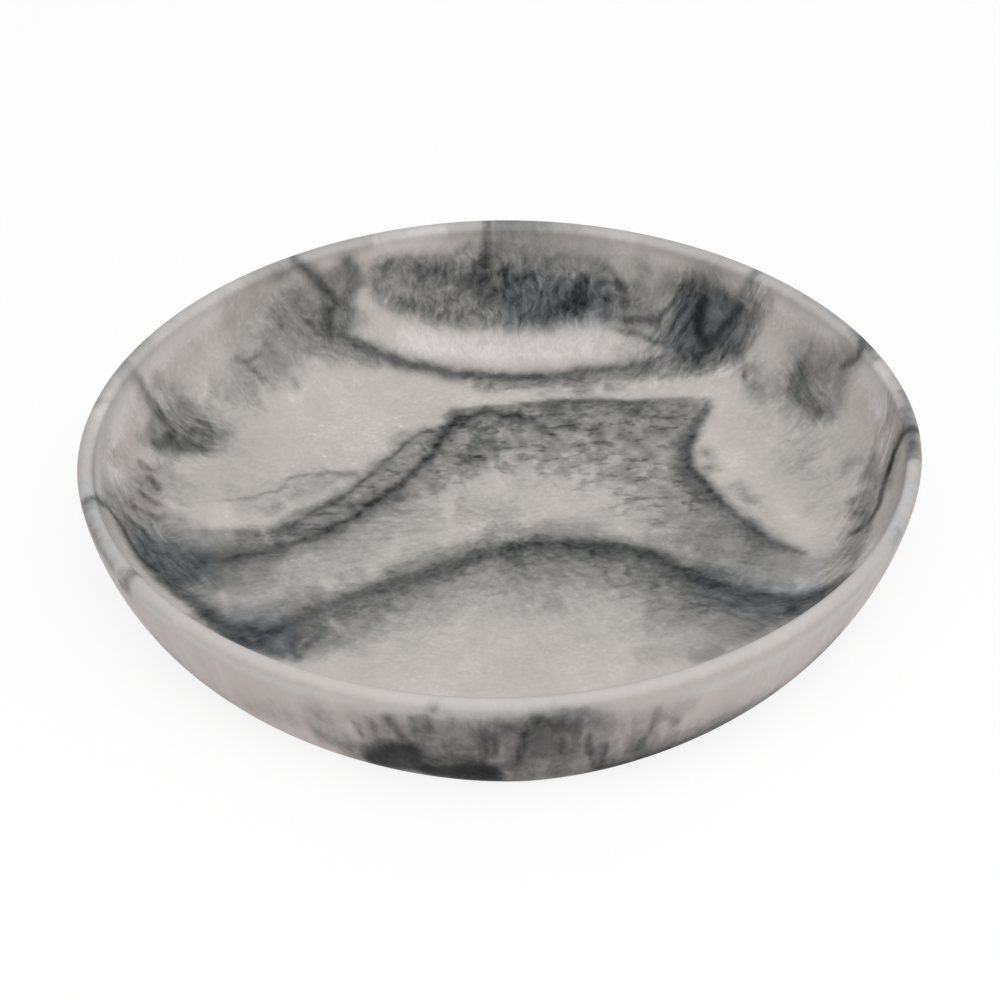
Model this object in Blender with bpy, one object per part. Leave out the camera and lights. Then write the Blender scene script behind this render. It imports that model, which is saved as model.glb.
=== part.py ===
"""Oval serving tray: one thick shell cast in marbled resin, shaped like a shallow oval bowl.

The shell is a loft of oval rings. They start at the flat foot, climb the leaning outer wall, turn
over the round lip, sweep down the inner wall and close in the middle of the gently dished floor.
The rim and the foot are unlike ovals, so no turned or extruded shape gives the outer wall.

Metres, +Z up. The origin is the centre of the foot's underside, and +X runs along the long axis.
"""

import math

import bmesh
import bpy
import numpy as np

# Rim, over the widest line of the lip
RIM_LENGTH = 0.300
RIM_WIDTH = 0.258
# Superellipse exponent of the outline: 2 is a true ellipse, and less draws the shoulders in
RIM_FULLNESS = 1.96
LIP_THICKNESS = 0.0055

# Foot, the flat oval that the tray stands on: how far it lies inside the rim at the ends and sides
FOOT_SETBACK_ENDS = 0.019
FOOT_SETBACK_SIDES = 0.012
FOOT_FULLNESS = 1.84

# Section
TRAY_HEIGHT = 0.050
FLOOR_THICKNESS = 0.006
# The floor's fall from the inner wall to the middle
FLOOR_DISH = 0.005
# Breadth in plan of the hollow curve between the lip and the floor
INNER_CURVE_BREADTH = 0.034
# Roundness of the outer wall's section: 1 is a straight slope from rim to foot, 2 a quarter ellipse
OUTER_WALL_ROUNDNESS = 1.45

# Facets
RING_POINTS = 80
OUTER_WALL_STEPS = 7
LIP_STEPS = 6
INNER_CURVE_STEPS = 8
FLOOR_STEPS = 5

# Resin
RESIN_COLOUR = (0.52, 0.49, 0.46, 1.0)
RESIN_ROUGHNESS = 0.38

LIP_RADIUS = LIP_THICKNESS / 2.0
# Height of the rim's widest line, where the lip's half circle starts and ends
LIP_BASE_Z = TRAY_HEIGHT - LIP_RADIUS
INNER_CURVE_DROP = LIP_BASE_Z - FLOOR_THICKNESS - FLOOR_DISH


def oval(half_x, half_y, fullness):
    """Return points and outward normals of |x/a|^n + |y/b|^n = 1, anticlockwise from +X."""
    angle = np.linspace(0.0, 2.0 * math.pi, RING_POINTS, endpoint=False)
    direction = np.column_stack((np.cos(angle), np.sin(angle)))
    share = np.abs(direction) / (half_x, half_y)
    points = direction * (share ** fullness).sum(axis=1, keepdims=True) ** (-1.0 / fullness)
    slope = np.sign(direction) * share ** (fullness - 1.0) / (half_x, half_y)
    return points, slope / np.linalg.norm(slope, axis=1, keepdims=True)


def quarter(steps, roundness):
    """Yield (run, rise) from (0, 0) to (1, 1) along a quarter superellipse that starts upright."""
    for step in range(steps + 1):
        turn = 0.5 * math.pi * step / steps
        yield 1.0 - math.cos(turn) ** (2.0 / roundness), math.sin(turn) ** (2.0 / roundness)


def ring(outline, z):
    """Lay a flat outline at height z."""
    return np.column_stack((outline, np.full(len(outline), z)))


def outer_wall_rings(foot, rim):
    """Rings from the foot up to the rim: the section leans out, rounded under and upright on top."""
    rings = []
    for run, fall in quarter(OUTER_WALL_STEPS, OUTER_WALL_ROUNDNESS):
        rings.append(ring(rim + (foot - rim) * run, LIP_BASE_Z * (1.0 - fall)))
    return rings[::-1]


def lip_rings(rim, outward):
    """Rings of the half circle over the lip, from just past the outer wall to its inner edge."""
    rings = []
    for step in range(1, LIP_STEPS + 1):
        turn = math.pi * step / LIP_STEPS
        inset = LIP_RADIUS * (1.0 - math.cos(turn))
        rings.append(ring(rim - inset * outward, LIP_BASE_Z + LIP_RADIUS * math.sin(turn)))
    return rings


def dish(scale):
    """How far the floor's dish sinks a ring that is this share of the inner lip's size."""
    return FLOOR_DISH * (1.0 - scale ** 2)


def inner_rings(rim, outward):
    """Rings down the hollow curve inside the lip, then shrinking across the floor."""
    rings = []
    inner_lip = rim - LIP_THICKNESS * outward
    mean_radius = np.linalg.norm(inner_lip, axis=1).mean()
    for run, fall in quarter(INNER_CURVE_STEPS, 2.0):
        inset = INNER_CURVE_BREADTH * run
        z = LIP_BASE_Z - INNER_CURVE_DROP * fall - dish(1.0 - inset / mean_radius)
        rings.append(ring(inner_lip - inset * outward, z))
    # The first of these is the lip's last ring again
    rings = rings[1:]
    floor_edge = inner_lip - INNER_CURVE_BREADTH * outward
    edge_scale = 1.0 - INNER_CURVE_BREADTH / mean_radius
    for step in range(1, FLOOR_STEPS):
        shrink = 1.0 - step / FLOOR_STEPS
        z = LIP_BASE_Z - INNER_CURVE_DROP - dish(edge_scale * shrink)
        rings.append(ring(floor_edge * shrink, z))
    return rings


def ring_edges():
    """Pairs of neighbouring point numbers round a ring."""
    return [(i, (i + 1) % RING_POINTS) for i in range(RING_POINTS)]


def loft(name, rings, middle):
    """Join rings with quads, close the first with a flat face and fan the last to its middle."""
    bm = bmesh.new()
    loops = [[bm.verts.new(point) for point in points] for points in rings]
    centre = bm.verts.new(middle)
    for lower, upper in zip(loops, loops[1:]):
        for i, j in ring_edges():
            bm.faces.new((lower[i], lower[j], upper[j], upper[i]))
    for i, j in ring_edges():
        bm.faces.new((loops[-1][i], loops[-1][j], centre))
    bm.faces.new(loops[0][::-1])
    mesh = bpy.data.meshes.new(name)
    bm.to_mesh(mesh)
    bm.free()
    mesh.shade_smooth()
    mesh.set_sharp_from_angle(angle=math.radians(40.0))
    return mesh


def resin_material():
    """Satin cast resin in the marbling's pale ground colour."""
    material = bpy.data.materials.new("marbled_resin")
    material.use_nodes = True
    shader = material.node_tree.nodes["Principled BSDF"]
    shader.inputs["Base Color"].default_value = RESIN_COLOUR
    shader.inputs["Roughness"].default_value = RESIN_ROUGHNESS
    shader.inputs["Metallic"].default_value = 0.0
    return material


def build_tray(collection):
    """The whole tray: one closed shell with its foot on z = 0."""
    rim, outward = oval(RIM_LENGTH / 2.0, RIM_WIDTH / 2.0, RIM_FULLNESS)
    foot, _ = oval(
        RIM_LENGTH / 2.0 - FOOT_SETBACK_ENDS,
        RIM_WIDTH / 2.0 - FOOT_SETBACK_SIDES,
        FOOT_FULLNESS,
    )
    rings = outer_wall_rings(foot, rim) + lip_rings(rim, outward) + inner_rings(rim, outward)
    mesh = loft("tray_body", rings, (0.0, 0.0, FLOOR_THICKNESS))
    mesh.materials.append(resin_material())
    collection.objects.link(bpy.data.objects.new("tray_body", mesh))


def main():
    for old in list(bpy.data.objects):
        bpy.data.objects.remove(old, do_unlink=True)
    collection = bpy.data.collections.new("oval_serving_tray")
    bpy.context.scene.collection.children.link(collection)
    build_tray(collection)


main()
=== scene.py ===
# %% [markdown]
# # An oval serving tray in marbled resin
#
# The tray is one thick casting: a shallow oval bowl with a round lip, poured from pale resin with
# grey and blue-black pigment swirled through it. So there is one piece to model, and almost all of
# its character is in the marbling. The plan is a smooth surface worked out from a section, then the
# marbling drawn on it as real lengths over the resin, and last a satin material, light and camera.

# %% Frame and libraries
import math

import bpy
import numpy as np
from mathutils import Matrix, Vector
from mathutils.bvhtree import BVHTree
from mathutils.geometry import barycentric_transform


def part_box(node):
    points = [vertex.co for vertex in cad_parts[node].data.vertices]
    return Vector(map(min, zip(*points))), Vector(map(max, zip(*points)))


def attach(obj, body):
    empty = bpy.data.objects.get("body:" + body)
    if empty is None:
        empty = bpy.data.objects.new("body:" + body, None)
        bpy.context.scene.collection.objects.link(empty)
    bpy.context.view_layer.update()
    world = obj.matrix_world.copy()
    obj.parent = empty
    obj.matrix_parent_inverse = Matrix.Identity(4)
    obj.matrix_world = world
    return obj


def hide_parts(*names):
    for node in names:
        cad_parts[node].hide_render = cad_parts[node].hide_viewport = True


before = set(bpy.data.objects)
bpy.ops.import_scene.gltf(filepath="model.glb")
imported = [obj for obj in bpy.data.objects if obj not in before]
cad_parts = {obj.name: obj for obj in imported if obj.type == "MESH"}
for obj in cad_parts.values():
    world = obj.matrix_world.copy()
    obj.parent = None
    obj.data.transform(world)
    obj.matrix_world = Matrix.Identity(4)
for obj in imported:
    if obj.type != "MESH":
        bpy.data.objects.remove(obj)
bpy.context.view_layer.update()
tray_low, tray_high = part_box("tray_body")
LENGTH, WIDTH, HEIGHT = tray_high - tray_low
print(f"the packed tray is {LENGTH:.3f} x {WIDTH:.3f} x {HEIGHT:.3f} m")

# %% [markdown]
# ## The section
#
# A tray like this comes out of a soft mould, so its section has no straight line or sharp corner:
# a dished floor, a hollow curve up the inside, a half round lip and a wall that leans out from a
# flat foot. A lathe can't make it, because the rim and the foot are unlike ovals. Instead, every
# level of the section is a rule for a ring: how far it is inset from the rim, how much it is
# shrunk, how far it has moved from the rim's oval to the foot's, and its height.

# %% Sizes of the section, in metres
RIM_FULLNESS = 1.96
FOOT_FULLNESS = 1.84
LIP_THICKNESS = 0.0055
FOOT_SETBACK = (0.019, 0.012)
FLOOR_THICKNESS = 0.006
FLOOR_DISH = 0.005
INNER_CURVE_BREADTH = 0.034
OUTER_WALL_ROUNDNESS = 1.45

COLUMNS = 512
FLOOR_ROWS, CURVE_ROWS, LIP_ROWS, WALL_ROWS, FOOT_ROWS = 80, 46, 12, 30, 14


def oval(half_x, half_y, fullness):
    """Points and outward normals of the superellipse |x/a|^n + |y/b|^n = 1, one for each column.

    The radius in a direction is what makes that sum 1, and the normal is the sum's gradient.
    """
    angle = np.linspace(0.0, 2.0 * math.pi, COLUMNS, endpoint=False)
    direction = np.column_stack((np.cos(angle), np.sin(angle)))
    share = np.abs(direction) / (half_x, half_y)
    points = direction * (share**fullness).sum(axis=1, keepdims=True) ** (-1.0 / fullness)
    slope = np.sign(direction) * share ** (fullness - 1.0) / (half_x, half_y)
    return points, slope / np.linalg.norm(slope, axis=1, keepdims=True)


rim, rim_outward = oval(LENGTH / 2, WIDTH / 2, RIM_FULLNESS)
foot, _ = oval(LENGTH / 2 - FOOT_SETBACK[0], WIDTH / 2 - FOOT_SETBACK[1], FOOT_FULLNESS)
lip_radius = LIP_THICKNESS / 2
lip_base = HEIGHT - lip_radius
mean_radius = np.linalg.norm(rim - LIP_THICKNESS * rim_outward, axis=1).mean()
floor_edge_share = 1.0 - INNER_CURVE_BREADTH / mean_radius
print(f"inside the lip the mean radius is {mean_radius * 1000:.1f} mm")


# %% Rules of the rings, from the floor's middle over the lip to the foot's middle
def quarter(rows, roundness):
    """A quarter superellipse: (1 - cos^(2/n), sin^(2/n)) over a right angle, starting upright."""
    turn = np.linspace(0.0, math.pi / 2, rows)
    return 1.0 - np.cos(turn) ** (2.0 / roundness), np.sin(turn) ** (2.0 / roundness)


def dish(share):
    """The floor's sag at this share of the inner lip's radius: it grows as 1 - share squared."""
    return FLOOR_DISH * (1.0 - share**2)


def rule(inset, shrink, foot_share, height):
    """One row for each ring, with its four numbers side by side."""
    return np.column_stack(np.broadcast_arrays(inset, shrink, foot_share, height))


curve_drop = lip_base - FLOOR_THICKNESS - FLOOR_DISH
spread = np.linspace(0.0, 1.0, FLOOR_ROWS)
floor_rule = rule(
    LIP_THICKNESS + INNER_CURVE_BREADTH,
    spread,
    0.0,
    lip_base - curve_drop - dish(floor_edge_share * spread),
)
run, fall = (side[::-1] for side in quarter(CURVE_ROWS, 2.0))
curve_inset = INNER_CURVE_BREADTH * run
curve_rule = rule(
    LIP_THICKNESS + curve_inset,
    1.0,
    0.0,
    lip_base - curve_drop * fall - dish(1.0 - curve_inset / mean_radius),
)
turn = np.linspace(math.pi, 0.0, LIP_ROWS)
lip_rule = rule(lip_radius * (1.0 - np.cos(turn)), 1.0, 0.0, lip_base + lip_radius * np.sin(turn))
run, fall = quarter(WALL_ROWS, OUTER_WALL_ROUNDNESS)
wall_rule = rule(0.0, 1.0, run, lip_base * (1.0 - fall))
foot_rule = rule(0.0, np.linspace(1.0, 0.0, FOOT_ROWS), 1.0, 0.0)
rules = np.vstack((floor_rule, curve_rule[1:], lip_rule[1:], wall_rule[1:], foot_rule[1:]))
ROWS = len(rules)
print(f"{ROWS} rings of {COLUMNS} points, about {2 * ROWS * COLUMNS} triangles")


# %% The surface as a function of angle and ring
def tray_surface(rules):
    """Points by ring and column: (rim + share * (foot - rim) - inset * normal) * shrink, at a height."""
    inset, shrink, foot_share, height = (column[:, None, None] for column in rules.T)
    plan = (rim + foot_share * (foot - rim) - inset * rim_outward) * shrink
    return np.concatenate((plan, np.broadcast_to(height, plan.shape[:2] + (1,))), axis=2)


grid = tray_surface(rules)
print("the grid's corners:", grid.min(axis=(0, 1)).round(4), grid.max(axis=(0, 1)).round(4))

# %% [markdown]
# ## The resin unrolled
#
# The marbling was poured over the inside while the resin was wet, so its sizes are lengths along
# the surface, not in plan. An unrolled map gives each point those lengths: its direction from the
# middle stays, and its distance is the length of resin walked from the middle of the floor.

# %% The unrolled map
TINY = 1e-9

walked = np.linalg.norm(np.diff(grid, axis=0), axis=2)
walked = np.vstack((np.zeros(COLUMNS), np.cumsum(walked, axis=0)))
radius = np.linalg.norm(grid[:, :, :2], axis=2)
apart = radius[..., None]
heading = np.where(apart > TINY, grid[:, :, :2] / np.maximum(apart, TINY), 0)
unrolled = heading * walked[..., None]
LIP_ROW = FLOOR_ROWS + CURVE_ROWS + LIP_ROWS // 2 - 2  # the two shared rings count once
print(f"from the middle to the lip's top: {walked[LIP_ROW].mean() * 1000:.0f} mm of resin")


# %% From grid to mesh
def flat(values):
    """The values of a ring grid, with its two poles as single points."""
    return np.concatenate((values[:1, 0], values[1:-1].reshape((-1,) + values.shape[2:]), values[-1:, 0]))


def grid_faces(rows, columns):
    """Quads between neighbouring rings, and a fan of triangles round each pole."""
    ring = 1 + np.arange((rows - 2) * columns).reshape(rows - 2, columns)
    after = np.roll(ring, -1, axis=1)
    quads = np.stack((ring[:-1], ring[1:], after[1:], after[:-1]), axis=2).reshape(-1, 4)
    last = ring[-1, -1] + 1
    first_fan = np.column_stack((np.zeros(columns, int), ring[0], after[0]))
    last_fan = np.column_stack((ring[-1], np.full(columns, last), after[-1]))
    return quads.tolist() + first_fan.tolist() + last_fan.tolist()


points = flat(grid)
map_points = flat(unrolled)
faces = grid_faces(ROWS, COLUMNS)
mesh = bpy.data.meshes.new("marbled_tray")
mesh.from_pydata(points.tolist(), [], faces)
mesh.shade_smooth()
tray = bpy.data.objects.new("marbled_tray", mesh)
bpy.context.collection.objects.link(tray)
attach(tray, "root")
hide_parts("tray_body")
print(f"{tray.name}: {len(mesh.vertices)} points, {len(mesh.polygons)} faces")

# %% [markdown]
# ## The camera
#
# A product photograph like this is taken from well back with a long lens, looking down into the
# bowl. The camera stands a metre away. It also serves to place the marbling: a vein is noted where
# the photograph shows it, and a ray from the camera finds that spot on the resin.

# %% The camera
PICTURE = 1000
FOCAL_PIXELS = 2953.3
SENSOR_MM = 36.0
AZIMUTH, ELEVATION, DISTANCE = math.radians(-4.19), math.radians(41.9), 1.05
AIM = Vector((-0.0002, 0.0, HEIGHT - 0.0292))

camera_data = bpy.data.cameras.new("camera")
camera_data.sensor_width = SENSOR_MM
camera_data.lens = SENSOR_MM * FOCAL_PIXELS / PICTURE
camera = bpy.data.objects.new("camera", camera_data)
back = Vector((
    math.sin(AZIMUTH) * math.cos(ELEVATION),
    -math.cos(AZIMUTH) * math.cos(ELEVATION),
    math.sin(ELEVATION),
))
camera.location = Vector((0.0, 0.0, HEIGHT)) + DISTANCE * back
camera.rotation_mode = "QUATERNION"
camera.rotation_quaternion = (AIM - camera.location).to_track_quat("-Z", "Y")
bpy.context.collection.objects.link(camera)
bpy.context.scene.camera = camera
print(f"lens {camera_data.lens:.1f} mm, {math.degrees(ELEVATION):.1f} degrees above the table")

# %% From a pixel of the photograph to the unrolled map
surface_tree = BVHTree.FromPolygons(points.tolist(), faces)
MIDDLE_PIXEL = (500.0, 470.0)
MOST_SLIDE_STEPS = 60


def on_resin(pixel):
    """Unrolled place of the resin that a pixel shows; one just off the tray slides towards it."""
    x, y = pixel
    for _ in range(MOST_SLIDE_STEPS):
        ray = Vector((x - PICTURE / 2, PICTURE / 2 - y, -FOCAL_PIXELS))
        spot, _, face, _ = surface_tree.ray_cast(
            camera.location, (camera.rotation_quaternion @ ray).normalized()
        )
        if spot is not None:
            break
        gap = math.dist((x, y), MIDDLE_PIXEL)
        x += (MIDDLE_PIXEL[0] - x) / gap
        y += (MIDDLE_PIXEL[1] - y) / gap
    corners = faces[face][:3]
    here = [Vector(points[i]) for i in corners]
    there = [Vector((*map_points[i], 0.0)) for i in corners]
    return np.array(barycentric_transform(spot, *here, *there)[:2])


print("the photograph's middle is", (1000 * on_resin((500, 500))).round(1), "mm from the floor's")

# %% [markdown]
# ## The marbling
#
# Pale resin went into the mould with ribbons of dark pigment. Where two pours met, a vein is crisp
# on one side and bleeds away on the other. Such veins could be a noise texture, but noise would
# put them anywhere, and a noted path puts each one where it runs. So a pour is made of a few kinds
# of stroke: a soft bleed beside a path, a pool inside an outline, a thin vein, combed fibres, and
# clean resin that thins the pigment. They are worked out at the points of the mesh, and the
# material adds the fine grain between the points.

# %% Paths over the resin
SPAN_STEPS = 6
MM = 1000.0  # in a metre


def spot(pixel):
    """Unrolled place of a pixel. A third number pushes it outward over the lip by so many mm."""
    place = on_resin(pixel[:2])
    if len(pixel) == 3:
        place = place * (1.0 + pixel[2] / MM / np.linalg.norm(place))
    return place


def smooth(nodes, closed=False):
    """Catmull-Rom curve through nodes.

    From b to c it is half of 2b + (c - a)t + (2a - 5b + 4c - d)t^2 + (3b - a - 3c + d)t^3.
    """
    nodes = np.array([spot(pixel) for pixel in nodes])
    if closed:
        padded = np.vstack((nodes[-1], nodes, nodes[:2]))
    else:
        padded = np.vstack((2 * nodes[0] - nodes[1], nodes, 2 * nodes[-1] - nodes[-2]))
    a, b, c, d = (padded[i : len(padded) - 3 + i, None] for i in range(4))
    t = np.linspace(0.0, 1.0, SPAN_STEPS, endpoint=False)[None, :, None]
    curve = 2 * b + (c - a) * t + (2 * a - 5 * b + 4 * c - d) * t**2 + (3 * b - a - 3 * c + d) * t**3
    return np.vstack((curve.reshape(-1, 2) / 2, padded[-2]))


def beside(path, places):
    """Distance of each place to a path, plus on its left and minus on its right, and where along."""
    steps = np.diff(path, axis=0)
    lengths = np.linalg.norm(steps, axis=1)
    away = places[:, None] - path[:-1]
    share = np.clip((away * steps).sum(axis=2) / lengths**2, 0.0, 1.0)
    gap = np.linalg.norm(away - share[..., None] * steps, axis=2)
    near = gap.argmin(axis=1)
    row = np.arange(len(places))
    left = steps[near, 0] * away[row, near, 1] - steps[near, 1] * away[row, near, 0]
    along = np.append(0.0, lengths.cumsum())[near] + share[row, near] * lengths[near]
    return np.copysign(gap[row, near], left), along / lengths.sum(), lengths.sum()


def inside(path, places):
    """True for the places in a closed path: a ray from them crosses it an odd number of times."""
    (x1, y1), (x2, y2) = path[:-1].T, path[1:].T
    x, y = places[:, :1], places[:, 1:]
    spans = (y1 > y) != (y2 > y)
    rise = np.where(y2 == y1, 1.0, y2 - y1)
    return (spans & (x < x1 + (y - y1) / rise * (x2 - x1))).sum(axis=1) % 2 == 1


# %% A little wander, so that no edge is drawn with a ruler
LATTICE = 64
WANDERS = ((0.014, 0.0004), (0.006, 0.0005), (0.0035, 0.0004))
rng = np.random.default_rng(7)


def ease(share):
    """A share from 0 to 1 with a smooth start and end."""
    return share * share * (3.0 - 2.0 * share)


def drift(places, size):
    """Value noise from -1 to 1: random numbers on a lattice, eased from one to the next."""
    lattice = rng.uniform(-1.0, 1.0, (LATTICE, LATTICE))
    cell = np.floor(places / size).astype(int)
    share = ease(places / size - cell)
    x, y = cell.T % LATTICE
    next_x, next_y = (x + 1) % LATTICE, (y + 1) % LATTICE
    here = lattice[x, y] + share[:, 0] * (lattice[next_x, y] - lattice[x, y])
    above = lattice[x, next_y] + share[:, 0] * (lattice[next_x, next_y] - lattice[x, next_y])
    return here + share[:, 1] * (above - here)


places = map_points.copy()
for size, reach in WANDERS:
    places += reach * np.column_stack((drift(map_points, size), drift(map_points, size)))
print(f"the strokes wander by up to {1000 * np.abs(places - map_points).max():.1f} mm")

# %% What the strokes share
FADED = 0.0025  # metres for each mm of breadth: 2.5 breadths out, a bleed is down to 0.2 percent
# The first layer is pigment, with some painted shade on the lip and low on the front wall; the second is
# painted light, which thins the ground's base density near the lip and on the far wall.
ink_and_painted_shade, painted_light, fleck, cool = np.zeros((4, len(places)))


def spread_along(values, along):
    """A number, or numbers spread evenly over a stroke's length, read at each place."""
    values = np.atleast_1d(values)
    return np.interp(along, np.linspace(0.0, 1.0, len(values)), values)


def near_path(path, reach):
    """Numbers of the places inside the path's box widened by a reach."""
    low, high = path.min(axis=0) - reach, path.max(axis=0) + reach
    return np.flatnonzero(((places > low) & (places < high)).all(axis=1))


def toward_ends(along, length, fade):
    """A share that falls from 1 to 0 over the last mm before either end of a path."""
    return np.clip(np.minimum(along, 1.0 - along) * length * MM / fade, 0.0, 1.0)


def pour(layer, here, density):
    """Lay a density over a layer: what shows through is the product of what each lets through."""
    layer[here] = 1.0 - (1.0 - layer[here]) * (1.0 - density)


def tell(what):
    """Print how much of the resin is inked so far."""
    print(f"{what}: ink on {100 * (ink_and_painted_shade > 0.3).mean():.1f}% of the points")


# %% Bleeds, pools and clean resin
def bleed(layer, depth, left, right, pixels, fade=3.0):
    """Density laid on a layer beside a path: depth * exp(-(distance / breadth)^2), a breadth in mm for each
    side.
    """
    path = smooth(pixels)
    here = near_path(path, FADED * np.max((np.max(left), np.max(right))))
    gap, along, length = beside(path, places[here])
    breadth = np.where(gap > 0, spread_along(left, along), spread_along(right, along)) / MM
    ends = ease(toward_ends(along, length, fade))
    pour(layer, here, spread_along(depth, along) * ends * np.exp(-((gap / breadth) ** 2)))


def pool(layer, depth, edge, pixels):
    """Pigment inside an outline: depth * a smooth step over an edge, in mm to either side of it."""
    path = smooth(pixels, closed=True)
    here = near_path(path, edge / MM)
    gap, _, _ = beside(path, places[here])
    depth_in = np.where(inside(path, places[here]), np.abs(gap), -np.abs(gap)) * MM
    pour(layer, here, depth * ease(np.clip(0.5 + 0.5 * depth_in / edge, 0.0, 1.0)))


def thin(depth, breadth, pixels, fade=3.0):
    """Clean resin beside a path takes a share of the ink away: depth * exp(-(distance / breadth)^2)."""
    path = smooth(pixels)
    here = near_path(path, FADED * breadth)
    gap, along, length = beside(path, places[here])
    ends = toward_ends(along, length, fade)
    ink_and_painted_shade[here] *= 1.0 - depth * ends * np.exp(-((gap * MM / breadth) ** 2))


# %% Veins
VEIN_LAYERS = 3
VEIN_REACH = 6.0  # half widths
VEIN_MEETING = 3.0  # half widths over which one vein gives way to another
vein_side = np.full((VEIN_LAYERS, len(places)), VEIN_REACH)
vein_ink = np.zeros((VEIN_LAYERS, len(places)))


def vein(strength, half_width, pixels, fade=4.0):
    """A thin line: its distance in half widths and its strength, in the layer where it has most room.

    Where it meets another line of its layer, the nearer one holds, and both fade where they are
    equally near, so that no false line shows between them.
    """
    path = smooth(pixels)
    here = near_path(path, VEIN_REACH * np.max(half_width) / MM)
    gap, along, length = beside(path, places[here])
    side = gap * MM / spread_along(half_width, along)
    ends = toward_ends(along, length, fade)
    layer = (np.abs(vein_side[:, here]) < VEIN_REACH).sum(axis=1).argmin()
    held = np.abs(vein_side[layer, here])
    lead = np.clip((held - np.abs(side)) / VEIN_MEETING, -1.0, 1.0)
    new_ink = spread_along(strength, along) * ends * np.clip(lead, 0.0, 1.0)
    closer = lead > 0.0
    vein_ink[layer, here] *= np.where(closer, 1.0, -lead)
    vein_side[layer, here[closer]] = side[closer]
    vein_ink[layer, here[closer]] = new_ink[closer]


# %% Combed fibres
COMB_MEETING = 4.0
comb_across, comb_along, comb_strength = np.zeros((3, len(places)))


def comb(strength, reach, pixels, fade=6.0):
    """Fibres that run with a path: mm across and along it, and a strength, full to half its reach.

    Where two combed paths meet, the stronger holds, and both fade where they are equally strong.
    """
    path = smooth(pixels)
    here = near_path(path, reach / MM)
    gap, along, length = beside(path, places[here])
    beyond_half = np.clip(2.0 - 2.0 * np.abs(gap) * MM / reach, 0.0, 1.0)
    new = spread_along(strength, along) * toward_ends(along, length, fade) * beyond_half
    lead = np.clip((new - comb_strength[here]) * COMB_MEETING, -1.0, 1.0)
    closer = lead > 0.0
    comb_strength[here] = np.where(closer, new * lead, -comb_strength[here] * lead)
    comb_across[here[closer]] = gap[closer] * MM
    comb_along[here[closer]] = along[closer] * length * MM


print(f"{VEIN_LAYERS} layers of veins and one of fibres over {len(places)} points")

# %% [markdown]
# ### The back of the bowl
#
# A dark cloud hangs on the back wall in two lobes, with a drip running down to it from the lip.
# Under it a pale band, then a long arc that closes the cloud off from the floor.

# %% The arc under the cloud
BACK_ARC = [
    (318, 318), (330, 328), (340, 336), (350, 341), (365, 348), (380, 354), (400, 361), (430, 368),
    (460, 374), (500, 377), (530, 377), (556, 375), (582, 372), (610, 368), (650, 363), (690, 358),
    (720, 356),
]
bleed(
    ink_and_painted_shade, (0.4, 0.5, 0.48, 0.44, 0.44, 0.4, 0.36, 0.42), (3.0, 3.0, 2.8, 2.6, 3.2, 3.2),
    (3.6, 4.4, 4.0, 3.6, 4.0, 5.0, 6.0, 5.0), BACK_ARC,
)
bleed(ink_and_painted_shade, (0.1, 0.14, 0.1), 6.0, 4.0, [(318, 322), (345, 343), (380, 356), (420, 368), (470, 378)])
bleed(ink_and_painted_shade, 0.14, 3.0, 3.0, [(318, 344), (340, 354), (365, 362), (385, 368)])
bleed(ink_and_painted_shade, 0.16, 2.6, 0.5, BACK_ARC[8:13])
vein((0.1, 0.14, 0.2, 0.2, 0.1), 1.4, BACK_ARC)
bleed(ink_and_painted_shade, (0.2, 0.18, 0.16, 0.22), 3.0, 3.0, [
    (470, 384), (520, 385), (580, 380), (630, 376), (680, 370), (720, 365),
])
bleed(ink_and_painted_shade, 0.08, 3.0, 1.0, [(440, 366), (480, 370), (530, 371), (565, 370), (600, 366)])
pool(fleck, 0.8, 4.0, [
    (470, 376), (560, 376), (640, 362), (720, 350), (730, 372), (650, 388), (560, 396), (480, 390),
])
bleed(ink_and_painted_shade, 0.12, 4.0, 4.0, [(608, 350), (630, 352), (660, 354), (690, 352)])
tell("the arc")

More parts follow.
